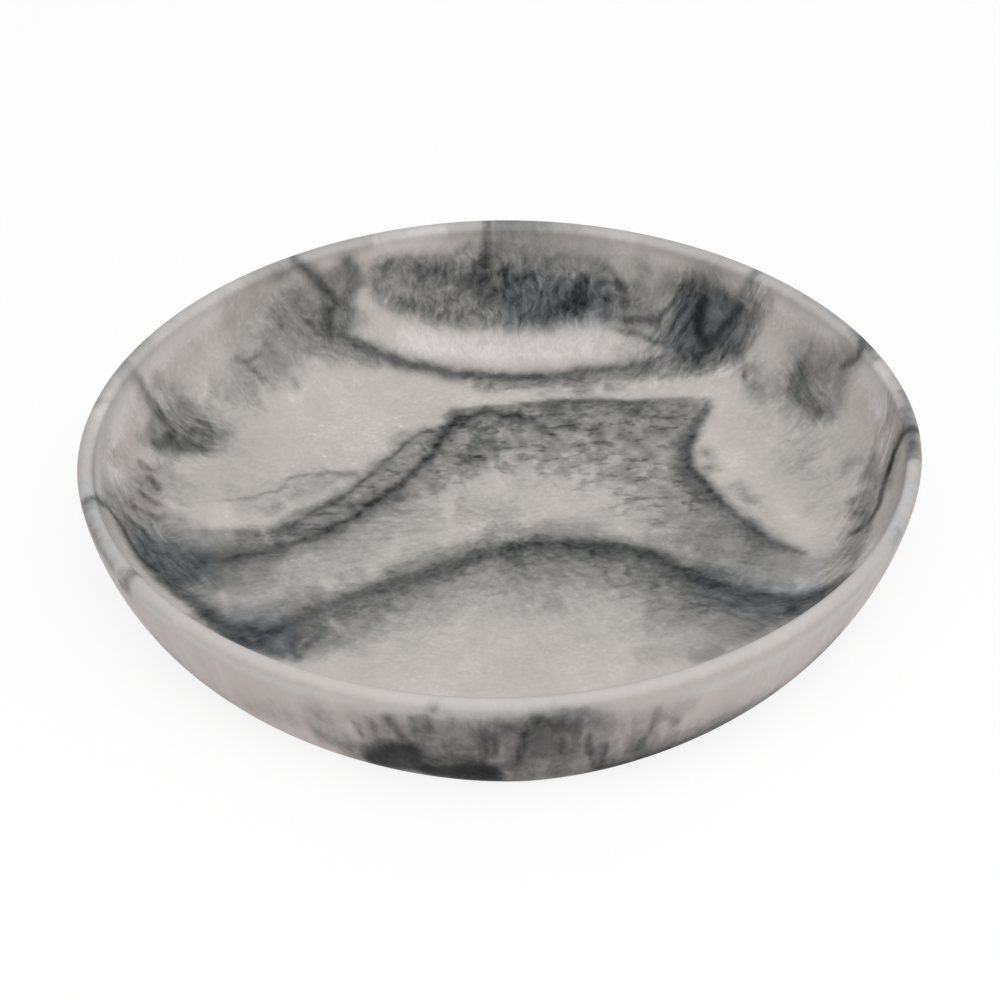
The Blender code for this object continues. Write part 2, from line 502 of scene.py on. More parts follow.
# %% The cloud on the back wall
CLOUD_LEFT = [
    (374, 278), (382, 262), (400, 257), (430, 258), (450, 257), (476, 254), (488, 264), (492, 300),
    (490, 322), (460, 327), (430, 321), (400, 311), (381, 304), (374, 292),
]
CLOUD_RIGHT = [
    (486, 264), (520, 262), (548, 262), (575, 266), (600, 274), (622, 284), (642, 292), (640, 304),
    (622, 314), (604, 322), (580, 325), (550, 326), (520, 326), (486, 324),
]
pool(ink_and_painted_shade, 0.37, 5.0, CLOUD_LEFT)
pool(ink_and_painted_shade, 0.42, 4.5, CLOUD_RIGHT)
pool(ink_and_painted_shade, 0.12, 4.0, [
    (500, 276), (540, 276), (580, 280), (612, 288), (604, 310), (560, 318), (520, 314), (500, 300),
])
pool(fleck, 0.8, 5.0, CLOUD_LEFT)
pool(fleck, 1.0, 5.0, CLOUD_RIGHT)
for depth, left, right, pixels in (
    ((0.1, 0.3, 0.42), 6.0, 5.0, [(408, 286), (432, 280), (460, 283), (488, 285)]),
    (0.1, 3.0, 3.0, [(388, 270), (405, 265), (425, 270), (440, 277)]),
    ((0.3, 0.4, 0.45), 2.6, 3.4, [(485, 250), (486, 270), (490, 290)]),
    (0.4, 3.5, 3.5, [(503, 262), (508, 275), (518, 282), (524, 290)]),
    (0.5, 3.0, 3.0, [(492, 282), (496, 296), (504, 303)]),
    ((0.24, 0.4, 0.54, 0.46), 6.0, 5.0, [(505, 302), (535, 306), (565, 302), (590, 300), (612, 298)]),
    ((0.2, 0.34, 0.3), 4.0, 3.0, [(515, 310), (550, 315), (590, 310)]),
    (0.26, 4.0, 4.0, [(496, 302), (508, 306), (518, 312)]),
    (0.36, 3.6, 4.0, [(522, 313), (538, 317), (556, 315)]),
    (0.36, 3.6, 3.6, [(556, 306), (575, 302), (600, 304)]),
    (0.2, 4.0, 4.0, [(396, 305), (420, 311), (445, 313), (472, 312)]),
    (0.3, 3.0, 3.0, [(518, 268), (530, 276), (538, 286)]),
    (0.36, 2.6, 2.6, [(612, 274), (620, 284), (626, 294)]),
    (0.3, 4.0, 4.0, [(426, 286), (438, 290), (448, 290)]),
    (0.4, 3.0, 3.0, [(556, 284), (566, 288), (576, 290)]),
    (0.14, 5.0, 5.0, [(632, 270), (645, 272), (655, 276)]),
    (0.45, 2.0, 2.0, [(588, 272), (583, 282), (578, 294)]),
    (0.35, 2.0, 2.0, [(560, 276), (556, 286), (560, 296)]),
):
    bleed(ink_and_painted_shade, depth, left, right, pixels)
bleed(ink_and_painted_shade, (0.38, 0.42, 0.5), 2.2, 2.6, [(488, 222, 12), (488, 222), (487, 235), (486, 250), (484, 270)], 1.0)
for depth, left, right, pixels in (
    ((0.38, 0.32, 0.24, 0.16, 0.14, 0.08), (7.0, 8.0, 9.0), 8.0, [
        (490, 246), (520, 248), (550, 252), (580, 258), (610, 266), (650, 276),
    ]),
    ((0.34, 0.26, 0.1, 0.04, 0.02), 3.5, 6.0, [
        (492, 224, 2), (520, 224, 2), (550, 228, 1), (590, 236), (640, 252),
    ]),
    (0.22, 1.8, 1.8, [(540, 255), (550, 259), (570, 258), (590, 262), (605, 268), (615, 278)]),
    (0.16, 1.8, 1.8, [(440, 278), (448, 264), (460, 252), (474, 240)]),
    (0.24, 3.6, 3.6, [(490, 238), (490, 262), (493, 282)]),
    ((0.02, 0.02, 0.1), 7.0, 4.0, [(360, 262), (400, 252), (450, 244), (484, 240)]),
    (0.3, 3.0, 3.0, [(352, 264), (360, 276), (362, 292)]),
):
    bleed(ink_and_painted_shade, depth, left, right, pixels)
tell("the cloud")

# %% The fork at the right of the back wall
pool(ink_and_painted_shade, 0.48, 4.0, [
    (682, 284), (698, 274), (714, 285), (742, 300), (752, 312), (748, 332), (738, 350),
    (715, 360), (690, 361), (672, 350), (668, 325), (676, 304),
])
bleed(ink_and_painted_shade, (0.5, 0.8, 0.85, 0.8, 0.6), 2.6, 2.6, [
    (706, 290), (701, 304), (699, 318), (700, 332), (706, 342), (714, 346),
])
bleed(ink_and_painted_shade, (0.3, 0.7, 0.7, 0.6), 2.2, 2.2, [(744, 300), (735, 313), (725, 325), (718, 335), (710, 342)])
bleed(ink_and_painted_shade, (0.2, 0.3, 0.4), 2.0, 2.0, [(757, 268, 8), (755, 272), (750, 282), (745, 292), (742, 300)], 1.0)
for depth, left, right, pixels in (
    (0.3, 4.0, 3.0, [(670, 350), (700, 348), (725, 350), (744, 350)]),
    (0.3, 3.4, 3.4, [(706, 296), (706, 312), (708, 330)]),
    (0.2, 4.0, 4.0, [(728, 362), (740, 362), (750, 360)]),
    (0.26, 5.0, 5.0, [(690, 322), (705, 336), (722, 342), (740, 350)]),
    (0.34, 2.4, 2.4, [(684, 314), (686, 328), (692, 342)]),
    (0.2, 4.0, 4.0, [(748, 298), (764, 300), (776, 306)]),
):
    bleed(ink_and_painted_shade, depth, left, right, pixels)
pool(ink_and_painted_shade, 0.18, 6.0, [(694, 266), (724, 272), (742, 288), (748, 302), (720, 302), (700, 288)])
pool(ink_and_painted_shade, 0.3, 5.0, [
    (622, 298), (650, 284), (680, 272), (688, 300), (680, 340), (660, 350), (636, 340), (612, 328),
    (606, 314),
])
for depth, breadth, pixels in (
    (0.2, 3.5, [(652, 308), (662, 330), (668, 348)]),
    (0.05, 6.0, [(640, 268), (680, 268), (715, 270)]),
    (0.36, 3.5, [(760, 300), (754, 325), (745, 345), (734, 358)]),
    (0.18, 1.8, [(760, 366), (750, 368), (746, 376), (749, 384), (757, 386), (761, 380)]),
):
    bleed(ink_and_painted_shade, depth, breadth, breadth, pixels)
bleed(cool, -0.9, 4.0, 4.0, [(756, 368), (748, 374), (754, 384)])
bleed(ink_and_painted_shade, 0.16, 3.5, 3.5, [(630, 366), (660, 366), (700, 366), (735, 360)])
bleed(ink_and_painted_shade, 0.5, 1.6, 1.6, [(618, 324), (632, 320), (645, 320), (658, 322)])
comb(1.0, 9.0, [(700, 268), (690, 290), (678, 318), (660, 345), (640, 362)])
comb(1.0, 8.0, [(768, 278), (756, 305), (744, 335), (722, 362), (700, 368)])
for streak in (
    [(684, 278), (680, 290), (672, 305), (660, 318), (650, 325)],
    [(700, 275), (694, 285), (690, 295), (684, 310), (676, 325), (668, 340)],
    [(610, 330), (640, 335), (670, 348)],
):
    vein(0.35, 1.0, streak)
tell("the fork")

# %% The back left
RIM_VEIN = [
    (286, 250, 16), (291, 255, 4), (297, 262), (306, 271), (315, 280), (323, 288), (331, 295),
    (335, 301), (333, 308), (328, 314), (322, 318),
]
bleed(ink_and_painted_shade, (0.1, 0.26, 0.42, 0.45, 0.35), 3.0, 2.4, RIM_VEIN, 1.0)
pool(ink_and_painted_shade, 0.1, 5.0, [(290, 286), (314, 288), (332, 300), (330, 312), (302, 312), (284, 300)])
vein((0.1, 0.2, 0.25, 0.2), 1.1, RIM_VEIN)
pool(ink_and_painted_shade, 0.28, 5.0, [
    (318, 276), (334, 268), (345, 254), (355, 264), (356, 290), (352, 310), (340, 312), (330, 290),
    (315, 275),
])
bleed(ink_and_painted_shade, (0.25, 0.4, 0.35, 0.3), 2.6, 2.4, [(347, 254), (351, 268), (352, 284), (349, 298), (344, 310)])
bleed(ink_and_painted_shade, 0.26, 4.0, 3.6, [(350, 302), (348, 318), (352, 334)])
pool(ink_and_painted_shade, 0.24, 6.0, [
    (300, 290), (330, 300), (352, 310), (350, 326), (330, 338), (300, 342), (278, 335), (272, 315),
    (282, 298),
])
pool(ink_and_painted_shade, 0.13, 7.0, [(225, 300), (270, 272), (300, 270), (310, 290), (280, 320), (250, 335), (225, 330)])
bleed(ink_and_painted_shade, 0.24, 3.4, 3.4, [(318, 290), (324, 300), (320, 312), (306, 313)])
bleed(ink_and_painted_shade, 0.06, 3.0, 3.0, [(304, 326), (318, 334), (334, 340)])
pool(ink_and_painted_shade, 0.2, 7.0, [
    (232, 350), (260, 336), (310, 333), (345, 342), (340, 352), (308, 364), (288, 382), (262, 390),
    (238, 378),
])
for depth, breadth, pixels in (
    (0.16, 4.0, [(262, 326), (268, 340), (266, 352)]),
    (0.15, 8.0, [(204, 388), (236, 396), (262, 392)]),
    (0.06, 8.0, [(200, 400), (215, 420), (222, 440)]),
    (0.2, 3.0, [(288, 384), (296, 384), (304, 384)]),
    (0.18, 4.0, [(256, 356), (268, 352), (276, 346)]),
):
    bleed(ink_and_painted_shade, depth, breadth, breadth, pixels)
comb(0.55, 10.0, [(262, 296), (282, 318), (308, 334), (340, 345), (372, 352)])
for streak in (
    [(300, 315), (318, 330), (335, 345)],
    [(276, 322), (284, 332)],
    [(232, 356), (240, 361), (250, 360), (258, 355), (262, 350)],
    [(245, 365), (258, 372), (262, 380), (270, 374)],
):
    vein(0.32, 1.1, streak)
tell("the back left")

# %% [markdown]
# ### The left side
#
# The wall carries a dark smudge, a row of short dashes and a vein that comes in over the lip and
# widens into the dark pool at the lower left.

# %% The left side
bleed(ink_and_painted_shade, (0.06, 0.1, 0.2, 0.3, 0.3), 2.0, 3.4, [
    (121, 355, 8), (126, 362), (133, 372), (140, 382), (146, 393), (152, 403), (160, 414), (168, 427),
    (178, 438),
], 1.0)
vein((0.05, 0.1, 0.2, 0.25), 1.2, [(133, 372), (141, 384), (149, 398), (158, 412), (168, 427), (178, 438)])
bleed(ink_and_painted_shade, 0.08, 9.0, 9.0, [(168, 470), (180, 500), (176, 524)])
pool(ink_and_painted_shade, 0.36, 5.0, [
    (150, 422), (172, 404), (195, 408), (212, 420), (226, 432), (222, 445), (205, 454), (175, 456),
    (155, 448),
])
for depth, breadth, pixels in (
    ((0.3, 0.34, 0.3), 3.5, [(160, 432), (180, 436), (200, 432), (216, 432)]),
    (0.26, 3.0, [(148, 440), (168, 446), (188, 448), (208, 448)]),
    (0.14, 3.0, [(152, 462), (164, 466), (178, 468)]),
    (0.2, 3.0, [(196, 438), (206, 442), (218, 444)]),
    (0.14, 4.0, [(142, 424), (150, 434), (158, 446)]),
    (0.14, 5.0, [(150, 382), (175, 392), (200, 408)]),
):
    bleed(ink_and_painted_shade, depth, breadth, breadth, pixels)
comb(1.0, 9.0, [(152, 388), (166, 410), (188, 428), (226, 440)])
pool(ink_and_painted_shade, 0.28, 7.0, [
    (106, 490), (120, 482), (150, 478), (162, 492), (164, 512), (200, 530), (170, 545), (130, 535),
    (114, 512),
])
bleed(ink_and_painted_shade, 0.06, 8.0, 8.0, [(116, 440), (130, 465), (150, 485)])
comb((0.4, 0.6, 0.6, 0.4), 13.0, [(122, 470), (132, 505), (150, 540), (176, 570), (205, 596)])
for streak in (
    [(137, 456), (144, 464), (152, 470), (162, 472)],
    [(132, 476), (138, 482), (141, 488)],
    [(144, 473), (152, 479), (160, 484), (166, 487)],
    [(152, 484), (158, 488), (164, 491)],
    [(134, 487), (144, 496), (154, 502), (163, 506)],
    [(126, 496), (138, 508), (150, 514), (164, 518)],
    [(124, 512), (135, 524), (148, 535), (162, 547)],
):
    vein(0.22, 1.0, streak)
    bleed(ink_and_painted_shade, 0.18, 1.4, 1.8, streak)
    bleed(cool, -1.0, 3.0, 3.0, streak)
LEFT_VEIN = [
    (78, 508, 12), (83, 502, 4), (90, 499), (98, 500), (106, 505), (113, 514), (120, 524), (127, 536),
    (134, 548), (142, 558), (151, 566), (160, 574),
]
bleed(ink_and_painted_shade, (0.3, 0.34, 0.26, 0.26, 0.36), 2.2, 2.2, LEFT_VEIN, 1.0)
vein((0.1, 0.25, 0.35, 0.3), 1.0, LEFT_VEIN)
bleed(ink_and_painted_shade, (0.15, 0.26, 0.32, 0.34, 0.34, 0.2), 4.0, 3.0, [
    (140, 562), (155, 576), (172, 588), (192, 604), (214, 621), (240, 638), (266, 648), (292, 656),
])
tell("the left side")

# %% [markdown]
# ### The vein with two strands
#
# It starts in the pool at the lower left and climbs the floor in two strands with net-like flecks
# between. At the top it opens into a wide grey field, then turns down along the right side.

# %% The pool at the lower left
pool(ink_and_painted_shade, 0.44, 6.0, [
    (122, 524), (142, 532), (165, 542), (200, 547), (232, 548), (250, 558), (222, 570), (208, 584),
    (204, 598), (188, 598), (170, 586), (150, 568), (132, 550),
])
pool(ink_and_painted_shade, 0.12, 3.0, [
    (180, 542), (230, 541), (262, 533), (290, 520), (330, 502), (345, 500), (340, 514), (320, 530),
    (290, 548), (260, 560), (200, 563),
])
pool(ink_and_painted_shade, 0.28, 5.0, [(138, 538), (160, 546), (200, 553), (212, 566), (196, 584), (172, 584), (152, 568)])
tell("the pool")

# %% The two strands
LOWER_STRAND = [
    (190, 560), (215, 561), (240, 557), (262, 552), (282, 548), (300, 542), (320, 534), (341, 524),
    (357, 515), (373, 503), (391, 492), (410, 476), (428, 458), (440, 441), (449, 429), (458, 420),
    (472, 416), (490, 412), (510, 417), (530, 416),
]
bleed(
    ink_and_painted_shade, (0.2, 0.36, 0.36, 0.4, 0.42, 0.45, 0.42, 0.38, 0.34, 0.3), (4.0, 4.0, 3.2, 2.4, 2.2, 2.4),
    (6.0, 6.0, 4.5, 4.0, 4.0, 4.0), LOWER_STRAND,
)
bleed(ink_and_painted_shade, (0.1, 0.14, 0.2, 0.24, 0.3, 0.28), 4.0, 14.0, LOWER_STRAND[5:17])
vein((0.1, 0.2, 0.35, 0.45, 0.45, 0.45, 0.3), 1.2, LOWER_STRAND)
UPPER_STRAND = [
    (262, 534), (282, 529), (300, 521), (320, 509), (340, 499), (355, 488), (370, 475), (390, 457),
    (405, 443), (418, 435), (432, 432), (446, 431),
]
bleed(ink_and_painted_shade, (0.24, 0.34, 0.34, 0.24, 0.14), (4.0, 3.4, 2.6), 3.0, UPPER_STRAND)
bleed(ink_and_painted_shade, 0.2, 3.0, 3.0, [(330, 478), (345, 474), (362, 472)])
bleed(ink_and_painted_shade, 0.16, 3.4, 3.4, [(330, 512), (346, 510), (356, 504)])
vein((0.2, 0.3, 0.3, 0.25), 0.9, UPPER_STRAND)
BETWEEN_STRANDS = [
    (270, 534), (310, 518), (355, 494), (388, 464), (406, 446), (430, 436), (438, 442), (418, 464),
    (385, 490), (350, 512), (315, 532), (280, 544),
]
pool(ink_and_painted_shade, 0.22, 3.0, BETWEEN_STRANDS)
pool(fleck, 0.8, 6.0, BETWEEN_STRANDS)
for depth, left, right, pixels in (
    ((0.2, 0.2, 0.16), 4.0, 5.0, [(160, 540), (196, 540), (230, 543), (268, 538)]),
    (0.26, 2.0, 2.0, [(230, 537), (248, 533), (264, 534)]),
    (0.16, 3.0, 3.0, [(232, 541), (248, 541), (262, 538)]),
    (0.12, 3.4, 3.4, [(262, 518), (276, 510), (286, 502)]),
    (0.14, 2.0, 2.0, [(276, 524), (300, 513), (330, 502), (348, 494)]),
    (0.2, 3.0, 3.0, [(196, 534), (230, 533), (264, 527)]),
    ((0.34, 0.24, 0.14), 7.0, 7.0, [(205, 580), (240, 572), (275, 560)]),
    ((0.16, 0.14, 0.09, 0.09), 12.0, 9.0, [(220, 592), (300, 572), (350, 556), (400, 530), (450, 520)]),
    (0.12, 10.0, 6.0, [(230, 512), (280, 500), (340, 480)]),
):
    bleed(ink_and_painted_shade, depth, left, right, pixels)
for streak in (
    [(230, 538), (240, 540), (245, 543)],
    [(248, 534), (258, 536), (268, 537)],
):
    vein(0.24, 0.9, streak)
vein((0.06, 0.14, 0.16, 0.18, 0.2), 0.9, [
    (200, 501), (228, 500), (252, 498), (270, 493), (282, 488), (288, 480), (300, 476), (318, 475),
    (332, 472), (346, 476),
])
tell("the two strands")

# %% The grey field
FIELD_TOP = [
    (440, 422), (452, 414), (470, 409), (500, 407), (540, 403), (560, 402), (600, 401), (660, 401),
    (700, 400), (720, 399),
]
bleed(ink_and_painted_shade, (0.28, 0.32, 0.3, 0.28, 0.28, 0.3, 0.3), 1.6, (24.0, 28.0, 30.0, 30.0, 24.0), FIELD_TOP[:-1], 8.0)
bleed(ink_and_painted_shade, (0.1, 0.12, 0.2, 0.22, 0.16, 0.1), 1.2, 4.0, FIELD_TOP)
bleed(ink_and_painted_shade, (0.14, 0.18, 0.16), 12.0, 12.0, [(620, 460), (645, 490), (676, 524)])
bleed(ink_and_painted_shade, (0.14, 0.1, 0.02, 0.04), 10.0, 10.0, [(450, 512), (500, 516), (560, 520), (620, 524)])
pool(fleck, 1.0, 10.0, [
    (440, 420), (500, 410), (600, 402), (706, 404), (690, 440), (690, 470), (710, 500), (680, 530),
    (600, 500), (520, 475), (470, 480), (430, 500), (395, 508), (430, 465),
])
for depth, breadth, pixels in (
    (0.3, 2.6, [(536, 412), (550, 408), (565, 404)]),
    (0.16, 2.6, [(506, 412), (520, 420), (536, 424), (542, 434)]),
    (0.22, 2.4, [(574, 440), (586, 450), (598, 464)]),
    (0.22, 2.4, [(590, 424), (600, 434), (600, 446)]),
    (0.2, 2.6, [(560, 420), (580, 428), (592, 432)]),
    (0.24, 5.0, [(462, 444), (478, 452), (480, 464), (468, 472)]),
    (0.36, 3.0, [(464, 440), (482, 442), (500, 442)]),
    (0.16, 6.0, [(470, 434), (486, 436), (500, 438)]),
    (0.26, 3.0, [(494, 436), (502, 444), (507, 453)]),
    (0.2, 3.0, [(534, 414), (540, 424), (548, 430)]),
    (0.2, 2.4, [(552, 436), (560, 442), (566, 448)]),
    (0.2, 3.0, [(532, 418), (536, 428), (540, 436)]),
    (0.24, 3.0, [(540, 414), (552, 416), (566, 414)]),
    (0.16, 2.0, [(598, 420), (602, 445), (600, 470), (598, 490)]),
    (0.2, 3.4, [(612, 430), (630, 436), (642, 450), (662, 446)]),
    (0.24, 2.0, [(536, 432), (550, 434), (560, 438)]),
    (0.26, 2.6, [(458, 464), (476, 458), (494, 456)]),
    (0.2, 2.6, [(440, 454), (455, 455), (472, 457), (488, 457)]),
    (0.2, 2.6, [(500, 444), (515, 446), (530, 443)]),
    (0.2, 3.0, [(462, 468), (470, 474)]),
    (0.2, 3.0, [(430, 476), (438, 486), (430, 494)]),
    (0.2, 2.6, [(385, 498), (405, 496), (425, 494)]),
    (0.26, 3.0, [(615, 406), (630, 410), (650, 410), (662, 408)]),
    (0.2, 3.0, [(640, 430), (656, 434), (672, 440)]),
    (0.2, 3.0, [(553, 470), (564, 473), (576, 474)]),
    (0.2, 3.0, [(514, 454), (524, 458), (534, 462)]),
    (0.14, 2.4, [(668, 412), (676, 418), (684, 408), (692, 406), (698, 414)]),
    (0.26, 2.4, [(640, 432), (655, 431), (672, 433)]),
    (0.22, 2.4, [(612, 436), (625, 438), (635, 440)]),
    (0.2, 2.4, [(585, 432), (592, 438), (600, 448)]),
    (0.2, 2.4, [(640, 448), (650, 456), (640, 464)]),
    (0.2, 2.4, [(664, 442), (676, 446)]),
    (0.16, 3.0, [(655, 488), (668, 494), (672, 504)]),
    (0.1, 3.0, [(605, 466), (620, 474), (632, 480)]),
    (0.2, 1.2, [(700, 452), (706, 453), (712, 452)]),
    (0.24, 1.6, [(700, 466), (708, 468), (716, 466)]),
    (0.2, 1.2, [(703, 476), (712, 477)]),
):
    bleed(ink_and_painted_shade, depth, breadth, breadth, pixels)
tell("the grey field")

# %% The turn down the right side
RIGHT_TURN = [
    (716, 400), (708, 408), (700, 419), (694, 430), (690, 442), (687, 452), (688, 461), (693, 470),
    (701, 480), (709, 490), (718, 500), (729, 510), (741, 520), (754, 529), (766, 538), (780, 545),
    (794, 551), (812, 556),
]
bleed(
    ink_and_painted_shade, (0.1, 0.28, 0.38, 0.42, 0.45, 0.42, 0.38, 0.36, 0.38, 0.3, 0.18),
    (1.6, 2.4, 3.0, 3.4, 4.2, 4.2, 3.4), (3.0, 4.0, 5.0, 6.0, 6.0, 6.0), RIGHT_TURN, 6.0,
)
bleed(ink_and_painted_shade, (0.1, 0.2, 0.24, 0.24, 0.18, 0.1), 2.0, (8.0, 10.0, 16.0, 12.0), RIGHT_TURN, 14.0)
vein((0.2, 0.3, 0.35, 0.3, 0.2), 1.2, RIGHT_TURN)
for depth, breadth, pixels in (
    (0.2, 3.0, [(750, 516), (754, 528), (762, 540)]),
    (0.2, 3.0, [(868, 512), (867, 530), (858, 552), (849, 570)]),
    (0.08, 3.4, [(736, 488), (756, 502), (772, 520), (788, 538)]),
    (0.16, 4.0, [(728, 480), (742, 492), (756, 506)]),
    (0.16, 3.0, [(742, 538), (754, 541), (768, 543)]),
    (0.14, 8.0, [(622, 566), (644, 576), (660, 592)]),
    (0.08, 8.0, [(396, 546), (420, 546), (440, 542)]),
    (0.14, 3.0, [(700, 444), (712, 460), (718, 476)]),
    (0.26, 3.4, [(678, 462), (686, 482), (698, 500)]),
):
    bleed(ink_and_painted_shade, depth, breadth, breadth, pixels)
pool(ink_and_painted_shade, 0.22, 9.0, [
    (680, 520), (725, 520), (750, 540), (780, 556), (812, 558), (832, 552), (848, 548), (846, 560),
    (832, 574), (812, 584), (780, 580), (740, 574), (700, 560),
])
tell("the turn")

# %% [markdown]
# ### The front vein
#
# The longest vein crosses the whole floor below the field. Its upper edge is crisp, and below it
# the pigment bleeds far down the floor.

# %% The front vein
FRONT_VEIN = [
    (196, 604), (222, 622), (252, 632), (282, 626), (305, 614), (330, 605), (362, 594), (400, 581),
    (435, 569), (470, 558), (510, 549), (550, 545), (590, 546), (625, 549), (655, 557), (680, 569),
    (702, 579), (724, 588), (750, 595), (780, 598), (812, 596), (836, 584), (856, 566),
]
bleed(
    ink_and_painted_shade, (0.35, 0.46, 0.44, 0.42, 0.44, 0.39, 0.41, 0.48, 0.53, 0.48, 0.44, 0.34),
    (8.0, 8.0, 6.0, 5.0, 4.6, 4.2, 3.8, 4.0, 4.4, 4.6, 4.6),
    (9.0, 8.0, 6.0, 5.5, 7.0, 7.5, 7.0, 7.0, 8.0, 9.0, 8.0), FRONT_VEIN, 6.0,
)
bleed(
    ink_and_painted_shade, (0.16, 0.22, 0.26, 0.28, 0.27, 0.26, 0.26, 0.28, 0.24), 4.0,
    (14.0, 20.0, 26.0, 30.0, 30.0, 30.0, 24.0), FRONT_VEIN, 24.0,
)
vein((0.05, 0.1, 0.14, 0.14, 0.18, 0.18, 0.1), 1.8, FRONT_VEIN)
for depth, left, right, pixels in (
    (0.1, 5.0, 5.0, [(640, 536), (664, 540), (684, 552)]),
    (0.12, 5.0, 3.0, [(480, 535), (520, 530), (560, 530), (600, 534)]),
    (0.08, 8.0, 2.0, [(480, 548), (540, 536), (600, 538), (650, 546), (700, 568)]),
    (0.26, 4.0, 3.0, [(380, 576), (410, 564), (440, 553), (470, 545), (500, 540)]),
    (0.24, 5.0, 4.0, [(226, 612), (250, 613), (275, 606), (300, 596), (330, 588)]),
    (0.16, 6.0, 6.0, [(690, 566), (720, 574), (744, 578)]),
    ((0.2, 0.2, 0.22, 0.22), 4.0, 3.0, [(694, 560), (722, 572), (755, 580), (800, 585)]),
    (0.2, 4.0, 4.0, [(330, 620), (350, 614), (380, 606), (398, 600)]),
    (0.2, 5.0, 5.0, [(334, 626), (350, 619), (362, 612)]),
    (0.08, 6.0, 6.0, [(380, 602), (410, 592), (440, 584)]),
):
    bleed(ink_and_painted_shade, depth, left, right, pixels)
pool(fleck, 0.5, 10.0, [
    (320, 600), (420, 565), (520, 545), (620, 548), (700, 580), (760, 600), (700, 625), (600, 600),
    (500, 590), (400, 600), (330, 630),
])
for streak in (
    [(205, 622), (225, 634), (244, 642), (262, 650)],
    [(238, 618), (250, 628), (262, 640), (274, 634), (290, 620)],
    [(288, 624), (296, 636), (292, 648), (298, 662)],
    [(300, 652), (310, 642), (326, 634)],
):
    vein(0.3, 1.3, streak)
pool(ink_and_painted_shade, 0.1, 6.0, [
    (204, 612), (235, 624), (270, 622), (300, 608), (322, 610), (318, 630), (296, 646), (268, 650),
    (240, 642), (216, 628),
])
bleed(ink_and_painted_shade, 0.3, 7.0, 7.0, [(285, 650), (312, 640), (340, 626)])
pool(ink_and_painted_shade, 0.22, 5.0, [
    (700, 582), (732, 588), (780, 594), (822, 592), (806, 608), (780, 620), (745, 618), (712, 606),
])
for depth, left, right, pixels in (
    ((0.1, 0.14, 0.16, 0.2), 10.0, 9.0, [(640, 608), (690, 612), (730, 624), (770, 622)]),
    ((0.1, 0.12, 0.2, 0.2), 4.0, 4.0, [(728, 644), (752, 632), (778, 616), (798, 601)]),
    ((0.16, 0.16, 0.1, 0.04), 7.0, 7.0, [(690, 548), (725, 554), (765, 562), (800, 570)]),
    (0.08, 5.0, 5.0, [(648, 518), (670, 530), (692, 546)]),
    (0.16, 4.0, 4.0, [(688, 664), (712, 654), (728, 646)]),
    (0.2, 4.0, 4.0, [(770, 628), (786, 618), (800, 608)]),
    (0.08, 6.0, 5.0, [(630, 660), (670, 652), (705, 646), (730, 638)]),
    (0.3, 2.0, 2.0, [(252, 628), (262, 632), (274, 628)]),
    (0.22, 3.4, 3.4, [(200, 589), (212, 588), (224, 591)]),
    (0.2, 3.0, 3.0, [(262, 556), (276, 557), (290, 553)]),
    (0.2, 3.4, 3.4, [(250, 616), (262, 620), (278, 618)]),
    ((0.1, 0.24, 0.3), 3.0, 3.0, [(244, 638), (264, 647), (284, 655), (306, 660)]),
    ((0.2, 0.26, 0.2), 5.0, 4.0, [(158, 572), (178, 588), (198, 604), (216, 618)]),
    (0.35, 3.0, 3.0, [(780, 612), (792, 611), (802, 606)]),
    (0.14, 3.0, 3.0, [(716, 582), (726, 588), (740, 590)]),
    (0.16, 3.0, 3.0, [(736, 582), (756, 585), (776, 588)]),
):
    bleed(ink_and_painted_shade, depth, left, right, pixels)
comb(0.45, 12.0, [(700, 590), (760, 604), (815, 590), (850, 560), (876, 520)])
tell("the front vein")

# %% The right side
RIGHT_VEIN = [
    (914, 428, 8), (908, 430), (903, 434), (899, 441), (895, 450), (892, 461), (888, 472), (885, 484),
    (882, 495), (879, 506), (873, 517), (865, 525), (856, 532), (846, 537),
]
bleed(
    ink_and_painted_shade, (0.4, 0.5, 0.6, 0.6, 0.4, 0.3, 0.25),
    (2.0, 1.8, 2.2, 2.0, 1.6), (2.0, 3.0, 3.5, 3.0, 2.0), RIGHT_VEIN, 1.0,
)
vein((0.3, 0.45, 0.5, 0.4, 0.3), 1.1, RIGHT_VEIN)
for depth, left, right, pixels in (
    ((0.2, 0.4, 0.5, 0.3), 3.0, 3.0, [(904, 404), (908, 420), (912, 440), (912, 462)]),
    ((0.06, 0.1, 0.08, 0.06), 4.0, 4.0, [(897, 404), (889, 420), (878, 438), (860, 458), (838, 472)]),
    (0.14, 2.4, 2.4, [(900, 448), (894, 470), (889, 490)]),
    ((0.26, 0.26, 0.3, 0.3, 0.2), 6.0, 5.0, [(872, 452), (870, 480), (864, 510), (856, 535), (842, 560)]),
    (0.2, 3.5, 3.5, [(850, 494), (856, 510), (866, 516)]),
    (0.1, 8.0, 8.0, [(780, 440), (796, 452), (810, 470)]),
):
    bleed(ink_and_painted_shade, depth, left, right, pixels)
pool(ink_and_painted_shade, 0.09, 12.0, [
    (730, 380), (770, 380), (820, 410), (860, 430), (850, 480), (850, 530), (830, 545), (790, 510),
    (750, 460),
])
RIGHT_RIM = [(866, 332, 8), (862, 338), (861, 348), (856, 357), (849, 364), (840, 370)]
bleed(ink_and_painted_shade, 0.3, 1.6, 1.6, RIGHT_RIM, 1.0)
vein(0.25, 1.0, RIGHT_RIM)
bleed(ink_and_painted_shade, 0.4, 1.8, 1.8, [(858, 330), (868, 338), (878, 350)])
pool(ink_and_painted_shade, 0.3, 7.0, [
    (790, 356), (810, 346), (840, 348), (858, 348), (856, 362), (846, 376), (820, 382), (796, 372),
])
pool(ink_and_painted_shade, 0.26, 5.0, [(792, 380), (815, 372), (842, 376), (846, 392), (838, 412), (822, 418), (806, 408)])
